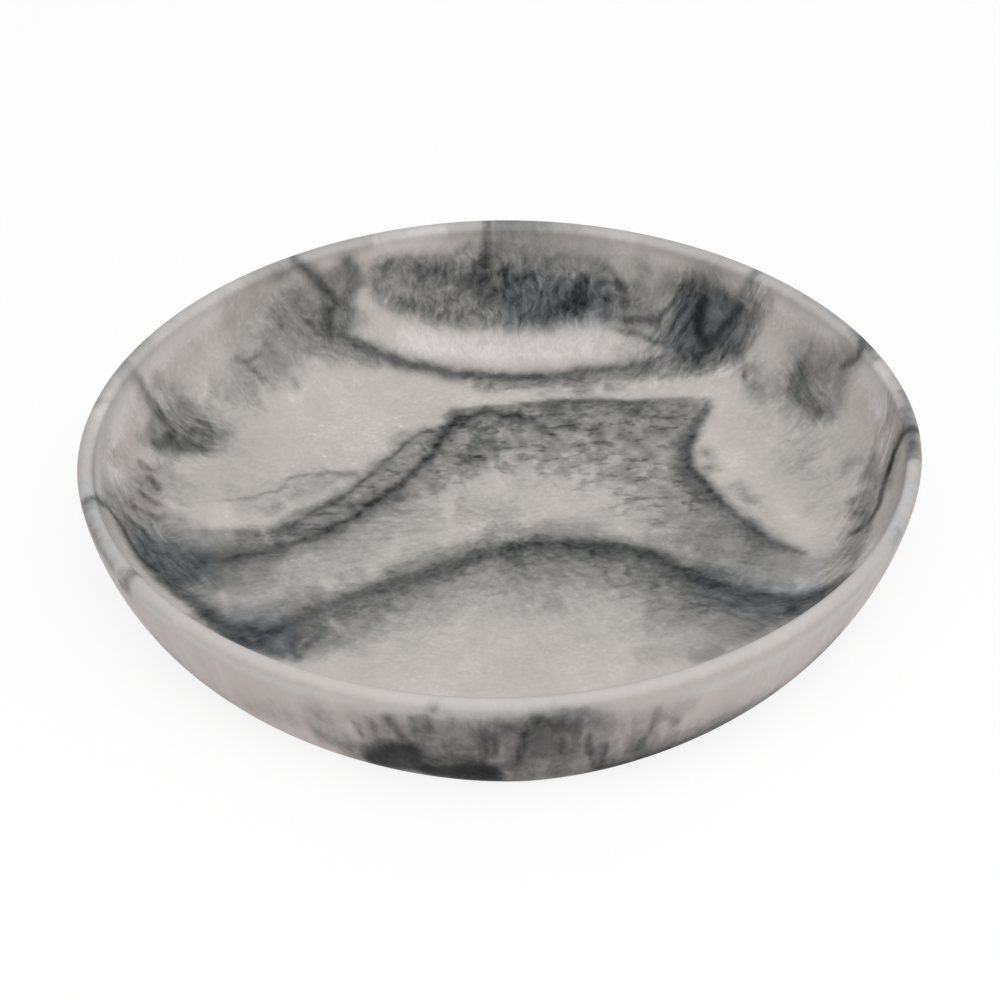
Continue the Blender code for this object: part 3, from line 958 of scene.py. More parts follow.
for depth, left, right, pixels in (
    (0.2, 3.0, 3.0, [(780, 388), (794, 392), (812, 390)]),
    (0.26, 3.4, 3.4, [(806, 356), (806, 374), (800, 394)]),
    ((0.1, 0.3, 0.4), 3.4, 3.4, [(772, 392), (788, 382), (806, 366)]),
    (0.16, 4.0, 4.0, [(776, 404), (796, 414), (822, 424)]),
    (0.2, 3.0, 3.0, [(768, 396), (776, 396), (784, 394)]),
    (0.24, 3.0, 3.0, [(818, 412), (828, 416), (836, 416)]),
    (0.4, 2.8, 2.8, [(784, 386), (796, 396), (812, 408), (824, 416)]),
    (0.12, 7.0, 6.0, [(745, 366), (762, 376), (785, 384)]),
    (0.1, 8.0, 8.0, [(780, 310), (800, 330), (820, 350)]),
):
    bleed(ink_and_painted_shade, depth, left, right, pixels)
comb(0.6, 9.0, [(780, 350), (796, 376), (816, 404), (836, 432)], 10.0)
comb((0.5, 0.7, 0.7, 0.4), 12.0, [(900, 392), (888, 430), (876, 470), (862, 512), (838, 552)])
for streak in (
    [(746, 364), (744, 374), (748, 384)],
    [(850, 498), (856, 506)],
    [(852, 508), (860, 515)],
):
    vein(0.35, 1.0, streak)
tell("the right side")

# %% [markdown]
# ### The outside
#
# Outside, the pigment ran down from the lip in drips and gathered in brown-black patches low on
# the wall. The photograph shows only the front, so the back and the ends carry drips of the same
# kind where veins cross the lip.

# %% Drips on the front wall
pool(ink_and_painted_shade, 0.84, 5.0, [
    (360, 756), (370, 747), (384, 743), (404, 740), (418, 745), (424, 758), (428, 770), (400, 770),
    (372, 763),
])
pool(ink_and_painted_shade, 0.92, 4.0, [
    (416, 767), (436, 765), (466, 763), (490, 764), (500, 768), (502, 778), (496, 784), (460, 783),
    (430, 777),
])
bleed(ink_and_painted_shade, (0.3, 0.5, 0.4), 3.6, 3.6, [(384, 750), (402, 746), (416, 752)])
bleed(ink_and_painted_shade, 0.4, 2.6, 2.6, [(426, 762), (450, 759), (480, 760)])
pool(ink_and_painted_shade, 0.24, 9.0, [
    (346, 744), (390, 722), (430, 728), (480, 722), (520, 718), (560, 714), (606, 720), (612, 770),
    (500, 790), (400, 774), (350, 762),
])
pool(ink_and_painted_shade, 0.26, 4.0, [(524, 720), (540, 716), (558, 718), (560, 742), (542, 750), (526, 744)])
pool(ink_and_painted_shade, 0.16, 6.0, [(478, 724), (500, 720), (530, 730), (536, 760), (490, 760)])
pool(ink_and_painted_shade, 0.3, 7.0, [(508, 732), (530, 724), (562, 724), (572, 750), (560, 776), (512, 780)])
pool(ink_and_painted_shade, 0.22, 7.0, [(418, 736), (440, 728), (480, 732), (492, 756), (440, 762)])
pool(ink_and_painted_shade, 0.14, 8.0, [(580, 716), (630, 726), (656, 730), (640, 770), (590, 782)])
for depth, left, right, pixels in (
    ((0.1, 0.14, 0.14, 0.14, 0.1), 6.0, 8.0, [(300, 712), (380, 720), (500, 726), (620, 718), (700, 704)]),
    (0.24, 5.0, 8.0, [(310, 730), (334, 741), (356, 751)]),
    ((0.1, 0.26, 0.3, 0.2), 4.0, 6.0, [(580, 774), (620, 768), (660, 758), (700, 742)]),
    (0.14, 6.0, 6.0, [(430, 734), (440, 722), (456, 718)]),
):
    bleed(ink_and_painted_shade, depth, left, right, pixels)
for depth, breadth, pixels in (
    (0.26, 1.6, [(350, 716), (357, 727), (364, 740)]),
    (0.26, 1.8, [(365, 714), (372, 726), (379, 737)]),
    (0.44, 2.4, [(387, 711), (392, 722), (399, 733), (405, 742)]),
    (0.2, 2.4, [(389, 716), (388, 730)]),
    (0.4, 2.2, [(412, 712), (413, 727), (415, 742)]),
    (0.34, 3.2, [(422, 710), (426, 722), (428, 736)]),
    (0.26, 2.6, [(428, 700), (431, 708), (434, 716)]),
    (0.24, 1.6, [(441, 740), (447, 751), (454, 760)]),
    (0.16, 1.6, [(462, 740), (468, 750), (476, 756)]),
    (0.44, 2.2, [(481, 723), (485, 739), (485, 757), (481, 768)]),
    (0.44, 1.6, [(492, 730), (495, 745), (494, 760)]),
    (0.34, 2.4, [(500, 722), (508, 727), (513, 736)]),
    (0.56, 2.2, [(525, 727), (523, 744), (518, 766)]),
    (0.44, 2.4, [(527, 722), (540, 720), (554, 723)]),
    (0.3, 2.8, [(530, 750), (541, 753), (552, 750)]),
    (0.36, 2.4, [(566, 704), (564, 721), (562, 739), (564, 756)]),
    (0.24, 1.6, [(577, 712), (578, 730), (576, 750)]),
    (0.3, 2.6, [(592, 707), (582, 712), (572, 718)]),
    (0.46, 1.8, [(590, 732), (590, 750), (594, 772)]),
    (0.42, 1.8, [(604, 740), (603, 756), (600, 774)]),
    (0.26, 1.6, [(598, 718), (596, 732)]),
    (0.3, 2.0, [(658, 706), (656, 718), (649, 732), (640, 744), (633, 758)]),
    (0.2, 3.0, [(660, 712), (672, 718), (680, 726)]),
):
    bleed(ink_and_painted_shade, depth, breadth, breadth, pixels, 4.0)
# The first four darken the front wall towards its foot: partly pigment, partly painted shade where the wall
# turns under.
for depth, left, right, pixels in (
    ((0.1, 0.2, 0.3, 0.3), 6.0, 7.0, [(470, 784), (540, 783), (620, 776), (700, 755), (790, 708)]),
    (0.1, 9.0, 6.0, [(150, 650), (220, 694), (300, 722), (350, 734)]),
    (0.2, 10.0, 12.0, [(620, 752), (700, 730), (770, 700), (850, 642)]),
    ((0.3, 0.44, 0.36, 0.1), 9.0, 9.0, [(590, 774), (650, 762), (700, 746), (760, 718)]),
    (0.22, 3.0, 3.0, [(84, 505), (92, 530), (104, 556), (116, 574)]),
    (0.3, 2.6, 2.6, [(118, 582), (128, 578), (140, 574)]),
    (0.4, 1.0, 1.0, [(268, 698), (275, 703)]),
):
    bleed(ink_and_painted_shade, depth, left, right, pixels)
tell("the front drips")

# %% Clouds and drips that the photograph doesn't show
# A third number walks outward from the noted pixel, here to the hidden front wall of the bowl
for depth, breadth, pixels in (
    (0.4, 5.0, [(262, 650), (258, 648, 12), (246, 642, 24), (240, 640, 36), (242, 640, 46)]),
    (0.3, 9.0, [(284, 655, 8), (272, 652, 22), (280, 655, 36)]),
    (0.4, 4.0, [(806, 602), (806, 602, 10), (796, 608, 22), (800, 606, 36)]),
    (0.26, 10.0, [(780, 618, 6), (770, 624, 20), (776, 620, 32)]),
    (0.3, 9.0, [(400, 680, 20), (450, 684, 34), (520, 686, 32), (580, 682, 40)]),
    (0.2, 14.0, [(420, 682, 42), (500, 686, 48), (620, 676, 46), (680, 660, 42)]),
    (0.36, 2.6, [(470, 684, 16), (476, 684, 30), (470, 684, 46), (474, 684, 60)]),
    (0.3, 2.4, [(560, 684, 22), (566, 684, 36), (560, 684, 52)]),
    (0.26, 2.4, [(640, 670, 28), (632, 671, 40), (640, 670, 54)]),
    (0.3, 2.4, [(380, 674, 22), (374, 673, 38), (378, 674, 56)]),
):
    bleed(ink_and_painted_shade, depth, breadth, breadth, pixels, 8.0)
comb(0.6, 14.0, [(330, 660, 40), (420, 680, 40), (520, 686, 42), (640, 670, 38), (740, 632, 34)])
# and from the pixels of the far lip down the outer wall
for depth, breadth, fade, pixels in (
    (0.32, 15.0, 26.0, [(392, 231, 38), (450, 225, 28), (500, 222, 34), (560, 226, 28), (612, 234, 38)]),
    (0.46, 6.0, 22.0, [(480, 223, 48), (530, 223, 43), (570, 226, 48), (620, 236, 44), (690, 253, 48)]),
    (0.26, 12.0, 20.0, [(684, 252, 36), (740, 264, 26), (796, 290, 38)]),
    (0.26, 11.0, 18.0, [(226, 276, 38), (270, 258, 28), (316, 244, 36)]),
    (0.26, 10.0, 18.0, [(108, 380, 42), (88, 426, 32), (79, 478, 42)]),
    (0.26, 10.0, 18.0, [(892, 366, 42), (912, 414, 30), (918, 464, 42)]),
):
    bleed(ink_and_painted_shade, depth, breadth, breadth, pixels, fade)
for depth, breadth, pixels in (
    ((0.4, 0.3, 0.2), (2.2, 2.8), [(488, 222, 4), (487, 222, 16), (490, 222, 30), (488, 222, 42)]),
    ((0.34, 0.24, 0.14), (1.8, 2.6), [(757, 268, 3), (756, 268, 16), (760, 269, 32)]),
    ((0.34, 0.26, 0.16), (2.0, 2.8), [(286, 250, 5), (283, 251, 18), (286, 250, 34), (284, 250, 46)]),
    ((0.24, 0.2, 0.1), (1.8, 2.6), [(121, 355, 3), (119, 358, 16), (121, 355, 32)]),
    ((0.3, 0.24, 0.16), (2.0, 2.8), [(78, 508, 4), (79, 502, 18), (78, 506, 34), (79, 500, 46)]),
    ((0.26, 0.2, 0.12), (1.6, 2.4), [(866, 332, 4), (869, 336, 18), (867, 334, 34)]),
    ((0.34, 0.26, 0.16), (1.8, 2.8), [(914, 428, 4), (916, 433, 18), (915, 430, 32), (916, 434, 46)]),
    (0.3, 2.6, [(430, 228, 12), (434, 228, 26), (430, 228, 40)]),
    (0.34, 2.2, [(456, 225, 10), (459, 225, 24), (455, 225, 44)]),
    (0.3, 2.2, [(520, 222, 8), (524, 223, 22), (520, 222, 40)]),
    (0.3, 3.0, [(556, 225, 8), (560, 226, 22), (556, 225, 36)]),
    (0.24, 2.2, [(590, 229, 12), (594, 230, 30), (590, 229, 48)]),
    (0.2, 2.2, [(366, 235, 14), (370, 234, 30), (366, 235, 46)]),
    (0.22, 2.2, [(726, 260, 12), (722, 260, 26), (726, 260, 44)]),
    (0.2, 2.4, [(306, 247, 14), (310, 246, 28), (306, 247, 42)]),
    (0.2, 2.4, [(84, 446, 14), (86, 444, 30), (84, 446, 46)]),
    (0.2, 2.4, [(908, 402, 16), (910, 406, 30), (908, 402, 46)]),
    (0.16, 12.0, [(96, 404, 48), (121, 355, 46), (200, 292, 50), (286, 250, 48)]),
    (0.2, 10.0, [(757, 268, 46), (820, 304, 50), (866, 332, 46), (900, 380, 50)]),
):
    bleed(ink_and_painted_shade, depth, breadth, breadth, pixels, 5.0)
tell("the hidden sides")

# %% [markdown]
# ### Small unevenness
#
# A pour is never as even as its big shapes. Here and there clean resin came up through a dark
# patch, and elsewhere a little pigment strayed into the pale ground.

# %% Places where clean resin thins the pigment
for depth, breadth, pixels in (
    (0.4, 4.0, [(626, 300), (640, 298), (650, 302)]),
    (0.3, 4.0, [(424, 304), (436, 308), (444, 312)]),
    (0.3, 3.5, [(476, 314), (486, 316), (494, 316)]),
    (0.25, 5.0, [(392, 270), (406, 268), (418, 276)]),
    (0.25, 5.0, [(586, 290), (600, 292), (608, 298)]),
    (0.25, 4.0, [(510, 310), (530, 310), (550, 308)]),
    (0.3, 4.0, [(312, 322), (322, 328), (328, 332)]),
    (0.3, 5.0, [(236, 336), (248, 344), (258, 336)]),
    (0.3, 5.0, [(244, 372), (256, 380), (270, 384)]),
    (0.3, 4.0, [(158, 412), (164, 424), (168, 438)]),
    (0.35, 4.0, [(134, 466), (140, 480), (144, 492)]),
    (0.3, 4.0, [(122, 524), (132, 536), (140, 546)]),
    (0.4, 2.5, [(574, 410), (584, 410), (592, 414)]),
    (0.3, 2.5, [(512, 414), (517, 424), (518, 436)]),
    (0.35, 3.5, [(522, 548), (530, 556), (532, 566)]),
    (0.3, 2.5, [(540, 374), (560, 373), (584, 370)]),
    (0.25, 3.0, [(668, 396), (680, 398), (692, 394)]),
    (0.3, 6.0, [(690, 618), (700, 632), (706, 648)]),
    (0.35, 4.0, [(876, 386), (886, 394), (888, 404)]),
    (0.35, 3.0, [(884, 502), (888, 512), (884, 524)]),
    (0.3, 4.0, [(776, 334), (784, 324), (790, 314)]),
    (0.2, 5.0, [(718, 430), (734, 432), (752, 430)]),
    (0.3, 3.5, [(178, 584), (190, 592), (198, 596)]),
    (0.35, 3.5, [(244, 634), (254, 638), (262, 640)]),
    (0.3, 3.5, [(334, 556), (350, 554), (364, 548)]),
    (0.25, 4.0, [(396, 490), (412, 474), (424, 456), (434, 440)]),
    (0.3, 4.0, [(344, 268), (352, 272), (356, 280)]),
    (0.25, 5.0, [(202, 564), (230, 570), (258, 572)]),
    (0.2, 4.0, [(840, 450), (850, 436), (860, 420)]),
    (0.2, 4.0, [(280, 304), (288, 300), (296, 294)]),
    (0.25, 3.5, [(712, 590), (724, 596), (734, 602)]),
    (0.3, 3.0, [(730, 506), (738, 516), (744, 524)]),
    (0.2, 3.5, [(776, 564), (786, 568), (796, 568)]),
    (0.25, 4.0, [(230, 498), (256, 504), (276, 504)]),
    (0.2, 4.0, [(306, 578), (314, 586), (320, 592)]),
    (0.3, 5.0, [(454, 734), (466, 738), (478, 740)]),
    (0.25, 5.0, [(552, 734), (566, 738), (574, 748)]),
    (0.35, 5.0, [(888, 382), (885, 398), (872, 418), (858, 438)]),
    (0.3, 4.0, [(788, 340), (796, 316), (812, 310), (826, 324)]),
    (0.2, 5.0, [(396, 280), (402, 294), (404, 304)]),
    (0.3, 3.0, [(574, 570), (584, 574), (598, 578)]),
    (0.3, 3.0, [(384, 500), (392, 494), (398, 488)]),
    (0.2, 4.0, [(370, 350), (382, 350), (394, 354)]),
):
    thin(depth, breadth, pixels)
tell("the thinned places")

# %% Small smudges all over
for depth, breadth, pixels in (
    (0.14, 5.0, [(268, 276), (284, 272), (296, 272)]),
    (0.08, 3.0, [(300, 282), (312, 292), (318, 304)]),
    (0.1, 4.0, [(332, 266), (334, 276), (340, 288)]),
    (0.2, 2.5, [(600, 387), (614, 388), (628, 384)]),
    (0.12, 3.0, [(568, 392), (584, 392), (598, 390)]),
    (0.12, 3.0, [(504, 330), (530, 329), (556, 328)]),
    (0.1, 4.0, [(340, 322), (352, 334), (362, 340)]),
    (0.1, 4.0, [(324, 360), (340, 364), (352, 362)]),
    (0.14, 3.0, [(520, 535), (545, 538), (566, 532)]),
    (0.1, 3.0, [(560, 284), (568, 286), (574, 290)]),
    (0.12, 3.0, [(494, 288), (498, 296), (500, 302)]),
    (0.12, 3.0, [(464, 258), (472, 250), (480, 242)]),
    (0.12, 3.0, [(692, 416), (704, 408), (716, 402)]),
    (0.08, 5.0, [(744, 392), (756, 388), (768, 388)]),
    (0.1, 4.0, [(806, 396), (816, 394), (822, 390)]),
    (0.06, 4.0, [(770, 468), (800, 474), (840, 474), (858, 462)]),
    (0.12, 3.5, [(858, 490), (864, 478), (874, 470)]),
    (0.12, 3.5, [(888, 494), (890, 484), (892, 476)]),
    (0.14, 3.0, [(680, 552), (686, 558), (684, 564)]),
    (0.12, 4.0, [(736, 612), (744, 618), (752, 614)]),
    (0.1, 4.0, [(366, 462), (380, 470), (386, 462)]),
    (0.1, 4.0, [(386, 448), (398, 438), (408, 428)]),
    (0.12, 3.5, [(428, 478), (436, 488), (446, 494)]),
    (0.1, 5.0, [(544, 600), (556, 606), (570, 604)]),
    (0.08, 6.0, [(346, 628), (360, 634), (380, 616), (400, 606)]),
    (0.12, 4.0, [(202, 594), (212, 596), (220, 594)]),
    (0.12, 4.0, [(340, 732), (352, 742), (362, 750)]),
    (0.14, 4.0, [(386, 728), (398, 736), (408, 738)]),
    (0.16, 5.0, [(418, 746), (432, 756), (446, 764)]),
    (0.14, 6.0, [(498, 768), (516, 770), (532, 772)]),
    (0.14, 3.0, [(590, 734), (592, 748), (594, 760)]),
    (0.16, 4.0, [(600, 772), (640, 766), (690, 750)]),
    (0.12, 4.0, [(112, 470), (114, 456), (112, 446)]),
    (0.12, 3.0, [(132, 430), (142, 440), (148, 452)]),
    (0.14, 2.5, [(94, 410), (97, 402), (102, 394)]),
    (0.14, 2.4, [(90, 500), (92, 506), (94, 512)]),
    (0.16, 2.5, [(846, 328), (858, 336), (868, 348)]),
    (0.12, 3.0, [(512, 372), (516, 384), (518, 392)]),
    (0.1, 3.0, [(674, 366), (680, 360), (688, 352)]),
    (0.1, 4.0, [(690, 300), (686, 320), (688, 336)]),
    (0.14, 3.0, [(890, 548), (896, 538), (902, 526)]),
    (0.1, 3.0, [(116, 566), (120, 572), (128, 578)]),
    (0.05, 14.0, [(190, 420), (215, 434), (240, 430)]),
    (0.06, 4.0, [(800, 510), (820, 512), (846, 508)]),
    (0.09, 4.0, [(730, 542), (746, 544), (762, 548)]),
    (0.12, 3.5, [(798, 560), (806, 558), (814, 552)]),
    (0.16, 4.0, [(346, 738), (356, 746), (366, 752)]),
    (0.16, 4.0, [(390, 728), (402, 732), (410, 736)]),
    (0.12, 4.0, [(404, 752), (420, 758), (440, 762)]),
    (0.14, 4.0, [(494, 768), (508, 764), (522, 770)]),
    (0.14, 3.0, [(600, 774), (640, 768), (690, 753)]),
    (0.1, 4.0, [(544, 578), (556, 574), (566, 570)]),
    (0.1, 4.0, [(332, 580), (348, 576), (368, 570)]),
    (0.1, 4.0, [(296, 318), (304, 316), (310, 308)]),
    (0.1, 3.5, [(306, 342), (314, 346), (318, 340)]),
    (0.1, 3.5, [(356, 330), (364, 320), (366, 306)]),
    (0.1, 4.0, [(530, 296), (546, 294), (560, 290)]),
    (0.1, 4.0, [(700, 280), (712, 276), (724, 278)]),
    (0.08, 4.0, [(664, 356), (674, 352), (684, 360)]),
    (0.08, 5.0, [(746, 392), (760, 392), (770, 384)]),
):
    bleed(ink_and_painted_shade, depth, breadth, breadth, pixels)
tell("the smudges")

# %% [markdown]
# ### The lip
#
# The lip stayed almost clean. A thin line of painted shade along its far side and its ends darkens
# the lip where it faces the lamp, over a band of painted light on the shaded wall below. Both follow
# the lip exactly, so they come from the distance to it and not from noted pixels. Painted light also
# lies along the tops of the side walls and on the front lip.

# %% The lip and the wall under it: painted shade on the lip, painted light on the wall under it and along the front lip
EVERYWHERE = slice(None)
LIP_PAINTED_SHADE = 0.04
LIP_PAINTED_SHADE_MORE_AT_RIGHT = 0.05
END_PAINTED_SHADE = 0.07
UNDER_LIP_PAINTED_LIGHT = 0.6


def band(middle, breadth):
    """1 on a line that many mm beyond the lip, falling away over a breadth in mm."""
    return np.exp(-(((lip_away - middle) / breadth) ** 2))


# Painted light: paler bands on the inner wall just under the lip, where the wall is shaded, and a faint
# painted highlight along the front lip.
bleed(painted_light, 0.8, 7.0, 7.0, [(116, 500), (114, 440), (128, 394), (166, 350), (208, 316), (250, 292)])
bleed(painted_light, 0.9, 6.0, 6.0, [(780, 306), (820, 330), (864, 370), (884, 392)])
bleed(painted_light, 1.0, 8.0, 8.0, [(870, 364), (882, 390), (874, 420)])
bleed(painted_light, 0.3, 3.0, 3.0, [
    (92, 520), (112, 562), (148, 606), (200, 644), (260, 676), (330, 698), (400, 710), (500, 714),
    (600, 710), (700, 692), (780, 656), (840, 612), (884, 560), (906, 500), (914, 462),
])
# The first three darken the far and left lip as painted shade, where the lip faces the lamp. The last two are
# smudges of pigment on the right lip.
for depth, breadth, pixels in (
    (0.06, 3.0, [(300, 254), (340, 243), (380, 235), (410, 231)]),
    (0.09, 5.0, [(96, 404), (118, 364), (150, 336)]),
    (0.04, 4.0, [(240, 280), (262, 270), (286, 262)]),
    (0.2, 2.6, [(903, 388), (907, 401), (910, 412)]),
    (0.26, 2.4, [(864, 344), (871, 352), (878, 360)]),
):
    bleed(ink_and_painted_shade, depth, breadth, breadth, pixels)
lip_away = np.linalg.norm(map_points, axis=1) - flat(np.broadcast_to(walked[LIP_ROW], walked.shape))
lip_away = lip_away * MM
to_right, to_back = flat(heading).T
# shares from 0 to 1: round the far side, towards the right, and at either end
far_side = np.clip(to_back * 1.6 + 0.2, 0.0, 1.0)
right_side = np.clip(to_right * 0.5 + 0.5, 0.0, 1.0)
at_ends = np.clip((np.abs(to_right) - 0.7) / 0.2, 0.0, 1.0)
far_lip_painted_shade = (LIP_PAINTED_SHADE + LIP_PAINTED_SHADE_MORE_AT_RIGHT * right_side) * far_side
# Painted shade on the lip's far side and its ends, where the lip faces the lamp, and painted light on the
# shaded wall under the far lip.
pour(ink_and_painted_shade, EVERYWHERE, far_lip_painted_shade * band(0.0, 2.6))
pour(painted_light, EVERYWHERE, UNDER_LIP_PAINTED_LIGHT * far_side * band(-9.0, 3.6))
pour(ink_and_painted_shade, EVERYWHERE, END_PAINTED_SHADE * at_ends * band(1.0, 3.0))
# More painted light: on the top of the back wall, on the band where the back wall turns into the floor, and
# on the left wall under the lip.
bleed(painted_light, 0.9, 9.0, 6.0, [(370, 248), (410, 240), (450, 234)])
bleed(painted_light, 0.4, 7.0, 4.0, [(390, 338), (430, 348), (500, 353), (560, 353), (596, 349)])
bleed(painted_light, 0.6, 5.0, 5.0, [(550, 234), (600, 240), (640, 250)])
bleed(painted_light, 0.9, 7.0, 7.0, [(100, 500), (98, 450), (106, 410), (122, 380)])
bleed(ink_and_painted_shade, 0.06, 30.0, 30.0, [(190, 420), (220, 470), (230, 510)], 10.0)
bleed(ink_and_painted_shade, 0.02, 40.0, 40.0, [(330, 640), (500, 620), (680, 640)], 10.0)

# %% Dark pigment that runs up to the lip at the left shoulder
bleed(ink_and_painted_shade, 0.2, 2.6, 2.6, [(138, 552), (150, 567), (164, 581), (182, 595), (200, 609), (218, 624)])
tell("the lip")

# %% Cool tint: a painted cool sheen along the lip, less of it at its warmer front left, and cool pigment in the blue-black veins
FRONT_LEFT = (-0.72, -0.69)
LIP_PAINTED_SHEEN = 0.5
WARMER_SHARE = 0.8

front_left = np.clip(flat(heading) @ FRONT_LEFT, 0.0, 1.0) ** 4
cool += LIP_PAINTED_SHEEN * (1.0 - WARMER_SHARE * front_left) * band(0.0, 3.5)
for breadth, pixels in (
    (12.0, [(130, 530), (180, 562), (215, 565)]),
    (12.0, [(215, 618), (260, 636), (300, 630)]),
    (12.0, [(500, 300), (560, 296), (610, 300)]),
    (14.0, [(700, 290), (705, 320), (712, 350)]),
    (12.0, [(700, 575), (760, 596), (830, 585)]),
    # these two follow the front lip: painted cool sheen
    (5.0, [(84, 470), (90, 520), (112, 562), (148, 606), (200, 644), (260, 676), (330, 698)]),
    (5.0, [
        (330, 698), (400, 708), (500, 712), (600, 708), (700, 690), (780, 654), (840, 610), (884, 560),
        (912, 480),
    ]),
):
    bleed(cool, 0.9, breadth, breadth, pixels)
print(f"cool pigment on {100 * (cool > 0.3).mean():.1f}% of the points")


# %% Attributes on the mesh
WALL_STARTS, WALL_FULL = 0.078, 0.112
FLOW_RADIUS = 0.13
OUTSIDE_WARMTH = 0.8


def store(name, *columns):
    """Give every point of the tray three numbers under one name."""
    layer = mesh.attributes.new(name, "FLOAT_VECTOR", "POINT")
    layer.data.foreach_set("vector", np.column_stack(columns).astype(np.float32).ravel())


def rise(low, high):
    """A smooth step from 0 at low to 1 at high, in metres of resin from the floor's middle."""
    return ease(np.clip((way - low) / (high - low), 0.0, 1.0))


lip_way = walked[LIP_ROW].mean()
foot_way = walked[-FOOT_ROWS].mean()
way = flat(np.broadcast_to(walked.mean(axis=1, keepdims=True), walked.shape))
wall = rise(WALL_STARTS, WALL_FULL) * (1.0 - rise(foot_way - 0.002, foot_way + 0.006))
outside = rise(lip_way - 0.003, lip_way + 0.004)
smooth_top = rise(lip_way - 0.014, lip_way - 0.005)
# the second number is painted light, not pigment
store("pour", ink_and_painted_shade, painted_light, fleck)
store("comb", comb_across, comb_along, comb_strength)
store("flow", flat(heading) * FLOW_RADIUS, flat(walked))
store("zone", wall, smooth_top, outside * OUTSIDE_WARMTH - cool)
for number in range(VEIN_LAYERS):
    store(f"vein_{number + 1}", vein_side[number], vein_ink[number], np.zeros(len(way)))
print(f"the lip is {1000 * lip_way:.0f} mm out, the foot's edge {1000 * foot_way:.0f} mm")

# %% [markdown]
# ## The resin
#
# Cast resin is satin, with pigment inside it: no clear coat and no relief to speak of. One shader
# carries it, and its colour is a ramp from the pale ground to blue-black. What drives the ramp is a
# density: the strokes' pigment and painted shade, lowered by painted light, with flecks, grain, drips
# and fibres added as noise and painted glints taken off. A noise's scale is about its number of blobs
# in a metre, so 640 gives a grain of 1.6 mm.

# %% Node helpers, which all add to the tree at hand
def new_material(name):
    """An empty node material and its tree."""
    made = bpy.data.materials.new(name)
    made.use_nodes = True
    made.node_tree.nodes.clear()
    return made, made.node_tree


def plug(node, name, value):
    """Link a socket to a node's input, or set the input to a plain value."""
    if isinstance(value, bpy.types.NodeSocket):
        tree.links.new(value, node.inputs[name])
    else:
        node.inputs[name].default_value = value


def add(kind, **inputs):
    """A new node, its inputs plugged by name, with spaces written as underscores."""
    node = tree.nodes.new(kind)
    for name, value in inputs.items():
        plug(node, name.replace("_", " "), value)
    return node


def math_of(operation, *values, clamp=False):
    """The result of a math node."""
    node = tree.nodes.new("ShaderNodeMath")
    node.operation = operation
    node.use_clamp = clamp
    for number, value in enumerate(values):
        plug(node, number, value)
    return node.outputs[0]


def times(first, second, clamp=False):
    """A product, on request clamped from 0 to 1."""
    return math_of("MULTIPLY", first, second, clamp=clamp)


def plus(first, second, clamp=False):
    """A sum, on request clamped from 0 to 1."""
    return math_of("ADD", first, second, clamp=clamp)


def minus(first, second):
    """A difference."""
    return math_of("SUBTRACT", first, second)


def vector_of(operation, *values, **named):
    """The result of a vector math node."""
    node = tree.nodes.new("ShaderNodeVectorMath")
    node.operation = operation
    for name, value in (*enumerate(values), *named.items()):
        plug(node, name, value)
    return node.outputs["Vector"]


def part(vector):
    """The three numbers of a vector."""
    return add("ShaderNodeSeparateXYZ", Vector=vector).outputs


# %% Textures and steps
def noise_of(vector, scale, detail=2.0, rough=0.5):
    """Noise from 0 to 1."""
    node = add("ShaderNodeTexNoise", Vector=vector, Scale=scale, Detail=detail, Roughness=rough)
    return node.outputs["Fac"]


def noise_about_zero(vector, scale, detail=2.0, rough=0.5):
    """Noise from -0.5 to 0.5."""
    return minus(noise_of(vector, scale, detail, rough), 0.5)


def stretched(vector, scale):
    """A vector with each axis scaled."""
    return add("ShaderNodeMapping", Vector=vector, Scale=scale).outputs["Vector"]


def smoothstep(value, low, high, to_low=0.0, to_high=1.0):
    """A smooth step from one value at low to another at high."""
    node = add(
        "ShaderNodeMapRange", Value=value, From_Min=low, From_Max=high, To_Min=to_low, To_Max=to_high
    )
    node.interpolation_type = "SMOOTHSTEP"
    return node.outputs["Result"]


def tinted_by(fac, first, second):
    """A colour multiplied by another, by a share."""
    node = tree.nodes.new("ShaderNodeMix")
    node.data_type = "RGBA"
    node.blend_type = "MULTIPLY"
    for number, value in ((0, fac), (6, first), (7, second)):
        plug(node, number, value)
    return node.outputs[2]


# %% Groups that make a mask
VECTOR, NUMBER = "NodeSocketVector", "NodeSocketFloat"


def new_group(name, **inputs):
    """An empty shader group with named inputs and a mask: its tree, its inputs and its output node."""
    group = bpy.data.node_groups.new(name, "ShaderNodeTree")
    for label, kind in inputs.items():
        group.interface.new_socket(label, in_out="INPUT", socket_type=kind)
    group.interface.new_socket("Mask", in_out="OUTPUT", socket_type=NUMBER)
    return group, group.nodes.new("NodeGroupInput").outputs, group.nodes.new("NodeGroupOutput")


def grouped(group, **inputs):
    """The mask that a group makes of its inputs."""
    node = tree.nodes.new("ShaderNodeGroup")
    node.node_tree = group
    for name, value in inputs.items():
        plug(node, name, value)
    return node.outputs[0]


# %% A thin vein with an uneven edge
tree, given, result = new_group("uneven_vein", Vein=VECTOR, Place=VECTOR)
vein_group = tree
side, strength, _ = part(given["Vein"])
wave = times(noise_about_zero(given["Place"], 240.0, 1.5), 3.0)
mask = smoothstep(math_of("ABSOLUTE", plus(side, wave)), 2.2, 0.0)
breaks = smoothstep(noise_of(given["Place"], 160.0), 0.3, 0.6, 0.5, 1.0)
plug(result, "Mask", times(times(mask, strength), breaks))
print(f"{vein_group.name}: {len(tree.nodes)} nodes")

